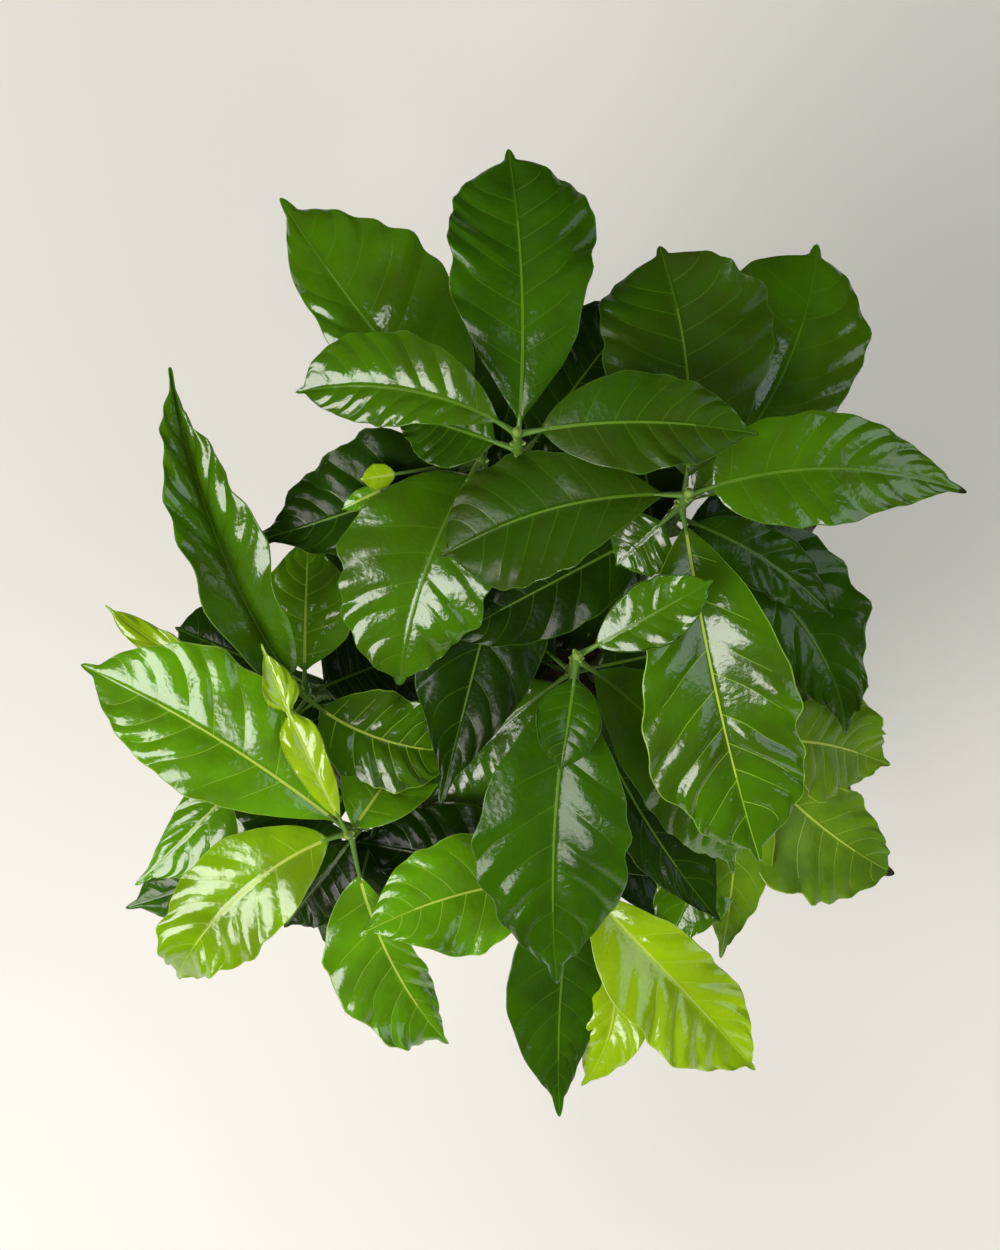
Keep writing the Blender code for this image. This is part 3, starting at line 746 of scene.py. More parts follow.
def add_blade(builder, seedling, row, rng, fine, relief):
    """Add one finished blade to a builder."""
    length = leaf_stations(seedling, row, [0.0])[4] - row["petiole"]
    left, right = vein_starts(rng, row["pairs"])
    rows = blade_rows(left, right, length, FINE_ROW if fine else COARSE_ROW)
    starts = np.array([r[0] for r in rows])
    edges = np.array([r[1] for r in rows])
    columns = FINE_COLUMNS if fine else COARSE_COLUMNS
    half_widest = 0.5 * row["width"]
    strip = 1.0 - MARGIN_STRIP / max(half_widest, 2.0)
    # shares of one half: 0 is the midrib, -1 marks the rib's edge, 1 is the margin
    across = [0.0, -1.0] + list(columns) + [strip, 1.0]
    signs = [1] * len(across) + [-1] * (len(across) - 1)
    shares = list(reversed(across)) + across[1:]
    size = (len(rows), len(shares))
    side_sign = np.broadcast_to(np.array(signs, float), size)
    share = np.broadcast_to(np.maximum(shares, 0.0), size)
    rib_edge = np.broadcast_to(np.array(shares) == -1.0, size)
    centre = np.broadcast_to(np.array(shares) == 0.0, size)
    start = starts[:, None] + edges[:, None] * (1 - VEIN_TAPER * share)
    bend = SWEEP_PARTS[0] * share + SWEEP_PARTS[1] * share**2
    sweep = SWEEP * np.sin(math.pi * starts)[:, None] * bend
    x = np.clip(start + sweep, 0.0, 1.0)
    mid, side, normal, half, _ = leaf_stations(seedling, row, x.ravel())
    least = LEAST_HALF_WIDTH + BASE_HALF_WIDTH * np.clip(1 - x.ravel() / BASE_SHARE, 0, 1)
    half = np.maximum(half, least).reshape(size)
    # count of side veins passed, and the height of each swelling between them
    phase = np.zeros(size)
    gain = np.ones(size)
    slow = np.zeros(size)
    loose = np.zeros(size)
    for sign, veins in ((1, left), (-1, right)):
        marks = np.concatenate([VEIN_MARK_ENDS[:1], veins, VEIN_MARK_ENDS[1:]])
        count = np.interp(starts, marks, np.arange(len(marks)))
        gains = np.array([rng.uniform(*PUFF_RANGE) for _ in marks])
        here = side_sign == sign
        phase = np.where(here, count[:, None], phase)
        gain = np.where(here, gains[count.astype(int)][:, None], gain)
        slow = np.where(here, edge_wave(rng, x, SLOW_TURNS), slow)
        loose = np.where(here, edge_wave(rng, x, QUICK_TURNS), loose)
    body = np.sin(math.pi * np.clip(starts, *BODY_RANGE))[:, None]
    wide = half / half_widest
    rib = np.minimum(RIB_HALF_WIDTH * (RIB_TAPER[0] - RIB_TAPER[1] * x), RIB_MOST * half)
    reach = half * (1 + side_sign * row["skew"])
    reach = reach * (1 + body * row["wave"] * (LOOSE_EDGE * loose
                                               + SCALLOP * -np.cos(2 * math.pi * phase)))
    y = np.where(rib_edge, rib, rib + (reach - rib) * share)
    y = np.where(centre, 0.0, y)
    part = y / np.maximum(reach, 0.01)
    hump = np.abs(np.sin(math.pi * phase))**PUFF_SHARPNESS * gain * body**0.5 * wide**0.5
    hump = hump * (1 - np.exp(-(part / PUFF_INNER)**2)) * (1 - PUFF_FADE * part**3)
    locked = -np.cos(2 * math.pi * phase) * part**3 * body
    flat = pucker_field(rng, x * length, y * side_sign, PUCKER_LENGTHS)
    broad = pucker_field(rng, x * length, y * side_sign, SWELL_LENGTHS)
    inner = np.clip(part / PUCKER_INNER, 0, 1) * body**0.5
    ridge = np.where(centre, RIB_RIDGE, 0.0) * np.clip(wide * 3, 0, 1)
    height = (row["puff"] * PUFF_HEIGHT * hump + row["wave"] * LOCKED_WAVE * locked
              + row["wave"] * SLOW_WAVE * slow * part**2 * body
              + PUCKER_HEIGHT * flat * inner + SWELL_HEIGHT * broad * part * body)
    height = relief * height + ridge - RECURVE * half * part**2.5
    mid = mid.reshape(*size, 3)
    side = side.reshape(*size, 3)
    normal = normal.reshape(*size, 3)
    fold = math.radians(row["fold"] + EXTRA_FOLD)
    across_way = math.cos(fold) * side_sign[..., None] * side + math.sin(fold) * normal
    outwards = math.cos(fold) * normal - math.sin(fold) * side_sign[..., None] * side
    outwards = np.where(centre[..., None], normal, outwards)
    top = mid + y[..., None] * across_way + height[..., None] * outwards
    depth = BLADE_THICKNESS * np.where(share >= 1.0, MARGIN_THIN, 1.0)
    depth = depth + np.where(centre, RIB_DEPTH, 0.0) * (RIB_DEPTH_TAPER[0]
                                                        - RIB_DEPTH_TAPER[1] * x)
    bottom = top - depth[..., None] * outwards
    points = np.concatenate([top.reshape(-1, 3), bottom.reshape(-1, 3)])
    faces, skins = blade_faces(row, rows, share, x, len(across) - 1)
    builder.add(points, faces, skins)


def blade_faces(row, rows, share, x, middle):
    """Faces of a blade's top, underside and rim, with the skin of each."""
    n_rows, n_cols = share.shape
    shift = n_rows * n_cols
    tone = BLADE_SKINS.index(row["tone"])
    pale = row["pale"] or row["tone"] in PALE_VEINED
    vein = BLADE_SKINS.index(("fresh" if row["pale"] else row["tone"]) + "_vein")
    rib = BLADE_SKINS.index("rib_pale" if pale else "rib_green")
    under = BLADE_SKINS.index("underside")
    dry = BLADE_SKINS.index("dry")
    faces = []
    skins = []
    for i in range(n_rows - 1):
        vein_side = rows[i][2]
        for j in range(n_cols - 1):
            a = i * n_cols + j
            face = (a, a + n_cols, a + n_cols + 1, a + 1)
            on_left = j < middle
            outer = share[i, j] if on_left else share[i, j + 1]
            skin = tone
            if vein_side and (vein_side == 1) == on_left and outer < VEIN_REACH:
                skin = vein
            # A thin pale strip along each margin: the blade's lighter edge, and partly a painted
            # bright rim where light shines through the thin margin
            if j in (0, n_cols - 2):
                skin = vein
            if j in (middle - 1, middle):
                skin = rib if x[i, j] < PALE_RIB_TO else vein
            if x[i, j] > 1 - row["dry"]:
                skin = dry
            faces.append(face)
            skins.append(skin)
            faces.append(tuple(shift + v for v in reversed(face)))
            skins.append(dry if skin == dry else under)
    # The rim's side faces take the same pale colour, partly a painted bright rim of light through
    # the edge
    for i in range(n_rows - 1):
        a = i * n_cols
        b = a + n_cols
        faces.append((a, a + shift, b + shift, b))
        faces.append((b - 1, b + n_cols - 1, b + n_cols - 1 + shift, b - 1 + shift))
        skins += [vein, vein]
    for j in range(n_cols - 1):
        b = (n_rows - 1) * n_cols + j
        faces.append((j, j + 1, j + 1 + shift, j + shift))
        faces.append((b, b + shift, b + 1 + shift, b + 1))
        skins += [tone, tone]
    return faces, skins


def tube(centres, radii, sides):
    """Points and faces of a closed round tube along a path."""
    centres = np.asarray(centres, float)
    along = np.gradient(centres, axis=0)
    along /= np.linalg.norm(along, axis=1)[:, None]
    across = np.cross(along, [0.0, 0.0, 1.0])
    flat = np.linalg.norm(across, axis=1) < 0.02
    across[flat] = [1.0, 0.0, 0.0]
    for k in range(1, len(across)):
        carried = across[k - 1] - along[k] * np.dot(across[k - 1], along[k])
        across[k] = carried
    across /= np.linalg.norm(across, axis=1)[:, None]
    upward = np.cross(along, across)
    turn = 2 * np.pi * np.arange(sides) / sides
    ring = np.cos(turn)[None, :, None] * across[:, None, :]
    ring = ring + np.sin(turn)[None, :, None] * upward[:, None, :]
    radii = np.asarray(radii, float)
    if radii.ndim == 1:
        radii = radii[:, None] * np.ones((1, sides))
    points = (centres[:, None, :] + radii[..., None] * ring).reshape(-1, 3)
    return points, capped_rings(len(centres), sides)


def add_petiole(builder, seedling, row, skin):
    """Leaf stalk from inside the stem to just inside the blade's base."""
    fine, run = measured_midrib(seedling, row)
    wanted = np.linspace(STALK_START, row["petiole"] + STALK_IN_BLADE, STALK_RINGS)
    centres = at_lengths(wanted, run, fine)
    centres[:, 2] -= STALK_DROP
    share = np.linspace(0, 1, STALK_RINGS)
    slim = min(1.0, row["width"] / STALK_FULL_AT)
    radii = (0.75 + 0.25 * slim) * (STALK_RADIUS - STALK_TAPER * share
                                    + STALK_SWELL * np.exp(-share / STALK_SWELL_LENGTH))
    builder.add(*tube(centres, radii, STALK_SIDES), skin)


def add_green_stem(builder, seedling, rows, skins):
    """Green stem with swollen nodes, small scales at the nodes and an end bud."""
    green, scale = skins
    top = seedling["tip"][2]
    heights = np.arange(seedling["cut"] + CLEARANCE, top, GREEN_RING_STEP)
    radii = np.array([stem_radius(seedling, h) for h in heights])
    nodes = sorted(set(row["height"] for row in rows))
    for node in nodes:
        radii = radii + NODE_SWELL * np.exp(-((heights - node) / NODE_LENGTH)**2)
    radii = np.minimum(radii, radii[0] + MOST_SWELL)
    centres = np.array([stem_point(seedling, h) for h in heights])
    builder.add(*tube(centres, radii, GREEN_SIDES), green)
    tip = stem_point(seedling, top)
    bud_heights = np.linspace(0, BUD_HEIGHT + 1, len(BUD_SHAPE))
    ends = np.array([tip + np.array([0, 0, h - 0.5]) for h in bud_heights])
    builder.add(*tube(ends, TIP_RADIUS * np.array(BUD_SHAPE), BUD_SIDES), scale)
    for node in nodes:
        centre = stem_point(seedling, node)
        radius = stem_radius(seedling, node) + 0.4
        facing = [r for r in rows if r["height"] == node][0]
        chord = np.array(facing["tip"][:2]) - centre[:2]
        turn = math.degrees(math.atan2(chord[1], chord[0]))
        for side in (90, -90):
            foot = centre + radius * 0.7 * direction(turn + side, 0)
            end = centre + (radius + 0.9) * direction(turn + side, 0)
            end = end + np.array([0, 0, SCALE_HEIGHT])
            path = foot + (end - foot) * np.linspace(0, 1, len(SCALE_RADII))[:, None]
            builder.add(*tube(path, SCALE_RADII, SCALE_SIDES), scale)


def add_bark_stem(builder, seedling, rng, skin, ridge):
    """Woody stem with fine fissures and the ring scars of fallen leaves."""
    foot = SOIL_TOP + CLEARANCE
    cut = seedling["cut"]
    heights = np.linspace(foot, cut, int((cut - foot) / BARK_RING_STEP))
    base = np.array([stem_radius(seedling, h) for h in heights])
    turn = 2 * np.pi * np.arange(BARK_SIDES) / BARK_SIDES
    relief = np.zeros((len(heights), BARK_SIDES))
    for _ in range(BARK_WAVES):
        spokes = rng.randint(3, 9)
        lean = rng.uniform(-BARK_LEAN, BARK_LEAN)
        drift = rng.uniform(*BARK_DRIFT)
        shift = rng.uniform(0, 6.28)
        relief += np.sin(spokes * (turn[None, :] + lean * (heights[:, None] - foot)) + shift
                         + 1.6 * np.sin(drift * heights[:, None] + shift))
    relief *= ridge / 4.0
    scars = np.arange(cut - 6 - rng.uniform(0, 6), foot + 8, -SCAR_STEP)
    for scar in scars:
        relief += (SCAR_HEIGHT * np.exp(-((heights - scar) / 0.9)**2))[:, None]
        relief -= (SCAR_GROOVE * np.exp(-((heights - scar + 2.2) / 1.1)**2))[:, None]
    radii = base[:, None] + relief
    centres = np.array([stem_point(seedling, h) for h in heights])
    builder.add(*tube(centres, radii, BARK_SIDES), skin)


# Materials

def node(tree, kind, **values):
    """New shader node with its inputs and settings."""
    made = tree.nodes.new(kind)
    for key, value in values.items():
        if key in made.inputs:
            made.inputs[key].default_value = value
        else:
            setattr(made, key, value)
    return made


def join(tree, *links):
    """Link sockets: each link is a node, its output, the next node and its input."""
    for source, output, target, entry in links:
        tree.links.new(source.outputs[output], target.inputs[entry])


def new_group(name, inputs, outputs):
    """Empty shader node group with named sockets, and its input and output nodes."""
    group = bpy.data.node_groups.new(name, "ShaderNodeTree")
    for label, kind, value in inputs:
        socket = group.interface.new_socket(label, in_out="INPUT", socket_type=kind)
        if value is not None:
            socket.default_value = value
    for label, kind in outputs:
        group.interface.new_socket(label, in_out="OUTPUT", socket_type=kind)
    return group, group.nodes.new("NodeGroupInput"), group.nodes.new("NodeGroupOutput")


def mottle_group():
    """Two colours mixed in soft patches, with a little roughness change."""
    group, start, end = new_group(
        "soft_mottle",
        [("Colour", "NodeSocketColor", None), ("Patch colour", "NodeSocketColor", None),
         ("Patch scale", "NodeSocketFloat", 30.0), ("Smooth", "NodeSocketFloat", 0.25),
         ("Rough", "NodeSocketFloat", 0.4)],
        [("Colour", "NodeSocketColor"), ("Roughness", "NodeSocketFloat")])
    place = node(group, "ShaderNodeTexCoord")
    noise = node(group, "ShaderNodeTexNoise", Detail=3.0, Roughness=0.55)
    ramp = node(group, "ShaderNodeMapRange", **{"From Min": 0.38, "From Max": 0.62})
    mix = node(group, "ShaderNodeMix", data_type="RGBA")
    rough = node(group, "ShaderNodeMapRange", **{"From Min": 0.35, "From Max": 0.65})
    join(group, (place, "Object", noise, "Vector"), (start, "Patch scale", noise, "Scale"),
         (noise, "Fac", ramp, "Value"), (ramp, "Result", mix, "Factor"),
         (start, "Colour", mix, "A"), (start, "Patch colour", mix, "B"),
         (noise, "Fac", rough, "Value"), (start, "Smooth", rough, "To Min"),
         (start, "Rough", rough, "To Max"), (mix, "Result", end, "Colour"),
         (rough, "Result", end, "Roughness"))
    return group


def cell_group():
    """Height of the fine net of small veins that makes a leaf's gloss break up."""
    group, start, end = new_group(
        "leaf_net",
        [("Cell scale", "NodeSocketFloat", 420.0), ("Grain scale", "NodeSocketFloat", 1500.0)],
        [("Height", "NodeSocketFloat")])
    place = node(group, "ShaderNodeTexCoord")
    warp = node(group, "ShaderNodeTexNoise", Scale=180.0, Detail=2.0)
    push = node(group, "ShaderNodeVectorMath", operation="MULTIPLY_ADD")
    push.inputs[1].default_value = (0.004, 0.004, 0.004)
    cells = node(group, "ShaderNodeTexVoronoi", feature="SMOOTH_F1", Smoothness=0.35)
    grain = node(group, "ShaderNodeTexNoise", Detail=2.0)
    low = node(group, "ShaderNodeMath", operation="MULTIPLY")
    low.inputs[1].default_value = 0.35
    total = node(group, "ShaderNodeMath", operation="ADD")
    join(group, (place, "Object", warp, "Vector"), (warp, "Color", push, 0),
         (place, "Object", push, 2), (push, "Vector", cells, "Vector"),
         (start, "Cell scale", cells, "Scale"), (place, "Object", grain, "Vector"),
         (start, "Grain scale", grain, "Scale"), (grain, "Fac", low, 0),
         (cells, "Distance", total, 0), (low, "Value", total, 1), (total, "Value", end, "Height"))
    return group


def shared_group(name):
    """The node group of that name, made once."""
    makers = {"soft_mottle": mottle_group, "leaf_net": cell_group}
    return bpy.data.node_groups.get(name) or makers[name]()


def place_group(tree, name, **values):
    """Group node of a shared group with its own values."""
    made = tree.nodes.new("ShaderNodeGroup")
    made.node_tree = shared_group(name)
    for key, value in values.items():
        made.inputs[key.replace("_", " ")].default_value = value
    return made


def new_material(name):
    """Empty material with its tree and its Principled shader."""
    made = bpy.data.materials.new(name)
    made.use_nodes = True
    return made, made.node_tree, made.node_tree.nodes["Principled BSDF"]


def four(colour):
    """Colour with an alpha of one."""
    return (colour[0], colour[1], colour[2], 1.0)


def leaf_material(name, colour, patch, smooth, rough, specular=0.4, coat=0.0, bump=0.22):
    """Glossy green skin with soft patches and a fine net of veins."""
    made, tree, shader = new_material(name)
    mottle = place_group(tree, "soft_mottle", Colour=four(colour), Patch_colour=four(patch),
                         Patch_scale=38.0, Smooth=smooth, Rough=rough)
    join(tree, (mottle, "Colour", shader, "Base Color"),
         (mottle, "Roughness", shader, "Roughness"))
    shader.inputs["Specular IOR Level"].default_value = specular
    shader.inputs["Coat Weight"].default_value = coat
    shader.inputs["Coat Roughness"].default_value = 0.12
    if bump:
        net = place_group(tree, "leaf_net")
        relief = node(tree, "ShaderNodeBump", Strength=bump, Distance=0.0006)
        join(tree, (net, "Height", relief, "Height"), (relief, "Normal", shader, "Normal"))
    return made


def blend_colours(a, b, share):
    """Colour between two."""
    return tuple(x + (y - x) * share for x, y in zip(a, b))


def blade_materials(look):
    """Materials of a blade in the order of its slots."""
    made = []
    for tone in TONES:
        colour = tuple(getattr(look, tone))
        dull, specular, coat = FINISHES.get(tone, (0.0, 0.75, 0.2))
        gloss = look.gloss + dull
        patch = tuple(a * b for a, b in zip(colour, FADES.get(tone, PLAIN_FADE)))
        made.append(leaf_material("leaf_" + tone, colour, patch, gloss, gloss + 0.08, specular,
                                  coat))
    for tone in TONES:
        pale = tone in PALE_VEINED
        light = tuple(look.vein_pale if pale else look.vein_green)
        colour = blend_colours(tuple(getattr(look, tone)), light, look.vein_share)
        made.append(leaf_material("vein_" + tone, colour, tuple(0.85 * c for c in colour),
                                  look.gloss + 0.05, look.gloss + 0.15, 0.5, 0.0, 0.0))
    for name, colour, rough, bump in (("rib_green", look.vein_green, 0.35, 0.0),
                                      ("rib_pale", look.vein_pale, 0.35, 0.0),
                                      ("leaf_underside", look.underside, 0.5, 0.5),
                                      ("leaf_dry", look.dry, 0.7, 0.6)):
        colour = tuple(colour)
        made.append(leaf_material(name, colour, tuple(0.8 * c for c in colour), rough,
                                  rough + 0.1, 0.4, 0.0, bump))
    return made


def pot_material(look):
    """Pale glazed clay with faint specks and a soft unevenness."""
    made, tree, shader = new_material("pale_glaze")
    place = node(tree, "ShaderNodeTexCoord")
    specks = node(tree, "ShaderNodeTexVoronoi", Scale=260.0, Randomness=1.0)
    dots = node(tree, "ShaderNodeMapRange",
                **{"From Min": 0.0, "From Max": 0.16, "To Min": 1.0, "To Max": 0.0})
    few = node(tree, "ShaderNodeTexNoise", Scale=60.0, Detail=1.0)
    keep = node(tree, "ShaderNodeMapRange", **{"From Min": 0.55, "From Max": 0.6})
    both = node(tree, "ShaderNodeMath", operation="MULTIPLY")
    mottle = place_group(tree, "soft_mottle", Colour=four(look.glaze),
                         Patch_colour=four(look.glaze_shade), Patch_scale=16.0, Smooth=0.28,
                         Rough=0.4)
    mix = node(tree, "ShaderNodeMix", data_type="RGBA")
    mix.inputs["B"].default_value = four(look.speck)
    uneven = node(tree, "ShaderNodeTexNoise", Scale=45.0, Detail=3.0)
    relief = node(tree, "ShaderNodeBump", Strength=0.12, Distance=0.002)
    join(tree, (place, "Object", specks, "Vector"), (specks, "Distance", dots, "Value"),
         (place, "Object", few, "Vector"), (few, "Fac", keep, "Value"), (dots, "Result", both, 0),
         (keep, "Result", both, 1), (both, "Value", mix, "Factor"), (mottle, "Colour", mix, "A"),
         (mottle, "Roughness", shader, "Roughness"), (mix, "Result", shader, "Base Color"),
         (place, "Object", uneven, "Vector"), (uneven, "Fac", relief, "Height"),
         (relief, "Normal", shader, "Normal"))
    shader.inputs["Coat Weight"].default_value = 0.3
    return made


def two_tone_material(name, dark, light, scale, rough, bump, grain=0.7, edges=(0.35, 0.68),
                      depth=0.001, stretch=None):
    """Rough skin of two tones: earth, chips and, where its grain is stretched, bark."""
    made, tree, shader = new_material(name)
    place = node(tree, "ShaderNodeTexCoord")
    noise = node(tree, "ShaderNodeTexNoise", Scale=scale, Detail=6.0, Roughness=grain)
    ramp = node(tree, "ShaderNodeValToRGB")
    for stop, edge, colour in zip(ramp.color_ramp.elements, edges, (dark, light)):
        stop.position = edge
        stop.color = four(colour)
    relief = node(tree, "ShaderNodeBump", Strength=bump, Distance=depth)
    if stretch:
        stretched = node(tree, "ShaderNodeMapping", Scale=stretch)
        join(tree, (place, "Object", stretched, "Vector"), (stretched, "Vector", noise, "Vector"))
    else:
        join(tree, (place, "Object", noise, "Vector"))
    join(tree, (noise, "Fac", ramp, "Fac"), (ramp, "Color", shader, "Base Color"),
         (noise, "Fac", relief, "Height"), (relief, "Normal", shader, "Normal"))
    shader.inputs["Roughness"].default_value = rough
    return made


# Settings

def colour_setting(name, text, value):
    """Colour property with a default."""
    return bpy.props.FloatVectorProperty(name=name, description=text, default=value, size=3,
                                         min=0.0, max=1.0, subtype="COLOR")


class LeafSettings(bpy.types.PropertyGroup):
    """Shape and colours of the leaves."""

    relief: bpy.props.FloatProperty(
        name="Relief", description="Scale of the waves and swellings of a blade",
        default=1.0, min=0.0, max=2.0, subtype="FACTOR")
    gloss: bpy.props.FloatProperty(
        name="Roughness", description="Roughness of a glossy leaf", default=0.13, min=0.05,
        max=1.0, subtype="FACTOR")
    vein_share: bpy.props.FloatProperty(
        name="Vein strength", description="How far side veins differ from the blade",
        default=0.35, min=0.0, max=1.0, subtype="FACTOR")
    # Dark is the deep green of old leaves, made darker still to paint the shade on leaves that lie
    # under others
    dark: colour_setting("Dark", "Oldest shaded leaves", (0.014, 0.044, 0.001))
    bronze: colour_setting("Bronze", "Brownish leaves at the top", (0.024, 0.072, 0.001))
    deep: colour_setting("Deep", "Full-grown leaves", (0.030, 0.098, 0.001))
    mid: colour_setting("Middle", "Leaves of last season", (0.052, 0.150, 0.002))
    fresh: colour_setting("Fresh", "New full-sized leaves", (0.105, 0.290, 0.003))
    lime: colour_setting("Lime", "Leaves grown last", (0.185, 0.360, 0.003))
    young: colour_setting("Young", "Youngest leaves", (0.280, 0.460, 0.004))
    olive: colour_setting("Olive", "Dull leaves at the right", (0.125, 0.245, 0.006))
    underside: colour_setting("Underside", "Lower side of a blade", (0.110, 0.210, 0.030))
    vein_green: colour_setting("Vein", "Veins of full-grown leaves", (0.095, 0.205, 0.010))
    vein_pale: colour_setting("Pale vein", "Veins of new leaves", (0.420, 0.560, 0.070))
    dry: colour_setting("Dry tip", "Dry brown leaf tips", (0.030, 0.016, 0.008))


class StemSettings(bpy.types.PropertyGroup):
    """Relief and colours of the stems."""

    ridge: bpy.props.FloatProperty(
        name="Bark ridges", description="Height of the bark's ridges in millimetres",
        default=0.16, min=0.0, max=0.5)
    bark_dark: colour_setting("Bark fissures", "Dark of the bark", (0.075, 0.050, 0.028))
    bark_light: colour_setting("Bark", "Light of the bark", (0.300, 0.225, 0.140))
    green: colour_setting("Green stem", "Young stem and leaf stalks", (0.110, 0.220, 0.025))
    bud: colour_setting("Bud", "Bud and node scales", (0.260, 0.400, 0.070))


class PotSettings(bpy.types.PropertyGroup):
    """Colours of the pot."""

    glaze: colour_setting("Glaze", "Colour of the pot", (0.780, 0.690, 0.640))
    glaze_shade: colour_setting("Glaze shade", "Patches in the glaze", (0.720, 0.620, 0.570))
    speck: colour_setting("Specks", "Fine specks in the glaze", (0.300, 0.220, 0.170))


class SoilSettings(bpy.types.PropertyGroup):
    """Crumbs and colours of the potting soil."""

    chips: bpy.props.IntProperty(
        name="Bark chips", description="Loose chips on the soil", default=420, min=0, max=2000)
    grains: bpy.props.IntProperty(
        name="Pale grains", description="Loose pale grains on the soil", default=90, min=0,
        max=500)
    dark: colour_setting("Soil", "Dark of the soil", (0.012, 0.008, 0.005))
    light: colour_setting("Dry soil", "Light of the soil", (0.065, 0.042, 0.026))
    grain: colour_setting("Grain", "Pale light grains", (0.620, 0.600, 0.560))


class StageSettings(bpy.types.PropertyGroup):
    """Floor and lights."""

    floor: colour_setting("Floor", "Plain pale floor", (0.800, 0.780, 0.740))
    key: bpy.props.FloatProperty(
        name="Key light", description="Power of the large soft light", default=31.0, min=0.0,
        unit="POWER")
    fill: bpy.props.FloatProperty(
        name="Fill light", description="Power of each of the weak lights", default=8.0,
        min=0.0, unit="POWER")
    sky: bpy.props.FloatProperty(
        name="Room light", description="Strength of the light from all round", default=0.12,
        min=0.0)


SETTINGS = {"leaf_settings": LeafSettings, "stem_settings": StemSettings,
            "pot_settings": PotSettings, "soil_settings": SoilSettings,
            "stage_settings": StageSettings}


# Modelling helpers

def start_clean():
    """Object mode with nothing selected."""
    if bpy.context.object and bpy.context.object.mode != "OBJECT":
        bpy.ops.object.mode_set(mode="OBJECT")
    bpy.ops.object.select_all(action="DESELECT")


def select_parts(made, faces=None, edges=None):
    """In edit mode, select the faces or edges of a mesh that pass a test."""
    shape = bmesh.from_edit_mesh(made.data)
    for part in list(shape.verts) + list(shape.edges) + list(shape.faces):
        part.select = False
    chosen = shape.faces if faces else shape.edges
    test = faces or edges
    for part in chosen:
        if test(part):
            part.select_set(True)
    bmesh.update_edit_mesh(made.data)


def settle(made):
    """Move an object's place into its mesh and hand it to the plant's body."""
    start_clean()
    made.select_set(True)
    bpy.context.view_layer.objects.active = made
    bpy.ops.object.transform_apply(location=True, rotation=True, scale=True)
    start_clean()
    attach(made, ROOT_BODY)
    return made


def set_skin(made, skin):
    """Give an object one material."""
    made.data.materials.clear()
    made.data.materials.append(skin)


def edge_middle(edge):
    """Middle of an edge."""
    return (edge.verts[0].co + edge.verts[1].co) / 2


def is_level(edge):
    """True where both ends of an edge are at one height."""
    return abs(edge.verts[0].co.z - edge.verts[1].co.z) < LEVEL_WITHIN * MM


def is_round(edge):
    """True where both ends of an edge are as far from the pot's axis."""
    return abs(edge.verts[0].co.xy.length - edge.verts[1].co.xy.length) < ROUND_WITHIN * MM


# Operators

class PLANT_OT_pot(bpy.types.Operator):
    """Make the plain tapered pot"""

    bl_idname = "plant.pot"
    bl_label = "Pot"

    def execute(self, context):
        look = context.scene.pot_settings
        start_clean()
        height = POT_HEIGHT * MM
        bpy.ops.mesh.primitive_cylinder_add(vertices=POT_SPOKES, radius=POT_FOOT_RADIUS * MM,
                                            depth=height, location=(0, 0, height / 2))
        pot = context.object
        pot.name = "plain_pot"
        bpy.ops.object.transform_apply(location=True, rotation=False, scale=False)
        bpy.ops.object.mode_set(mode="EDIT")
        bpy.ops.mesh.select_mode(type="FACE")
        select_parts(pot, faces=lambda f: f.normal.z > 0.9)
        wide = POT_RIM_RADIUS / POT_FOOT_RADIUS
        bpy.ops.transform.resize(value=(wide, wide, 1.0))
        bpy.ops.mesh.inset(thickness=POT_WALL * MM)
        deep = (POT_HEIGHT - POT_FLOOR) * MM
        bpy.ops.mesh.extrude_region_move(TRANSFORM_OT_translate={"value": (0, 0, -deep)})
        inner_top = POT_RIM_RADIUS - POT_WALL
        inner_foot = POT_FOOT_RADIUS - POT_WALL + POT_SLOPE * POT_FLOOR
        narrow = inner_foot / inner_top
        bpy.ops.transform.resize(value=(narrow, narrow, 1.0))
        bpy.ops.mesh.select_mode(type="EDGE")
        rim = height - LIP_BAND * MM
        select_parts(pot, edges=lambda e: edge_middle(e).z > rim and is_level(e)
                     and is_round(e))
        bpy.ops.mesh.bevel(offset=LIP_ROUNDING * MM, segments=6, profile=0.5)
        select_parts(pot, edges=lambda e: edge_middle(e).z < LEVEL_WITHIN * MM and is_level(e)
                     and e.verts[0].co.xy.length > FOOT_EDGE_FROM * MM)
        bpy.ops.mesh.bevel(offset=FOOT_ROUNDING * MM, segments=4, profile=0.5)
        bpy.ops.mesh.select_all(action="SELECT")
        bpy.ops.mesh.normals_make_consistent(inside=False)
        bpy.ops.object.mode_set(mode="OBJECT")
        bpy.ops.object.shade_smooth_by_angle(angle=math.radians(35))
        set_skin(pot, pot_material(look))
        settle(pot)
        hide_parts("pot")
        return {"FINISHED"}


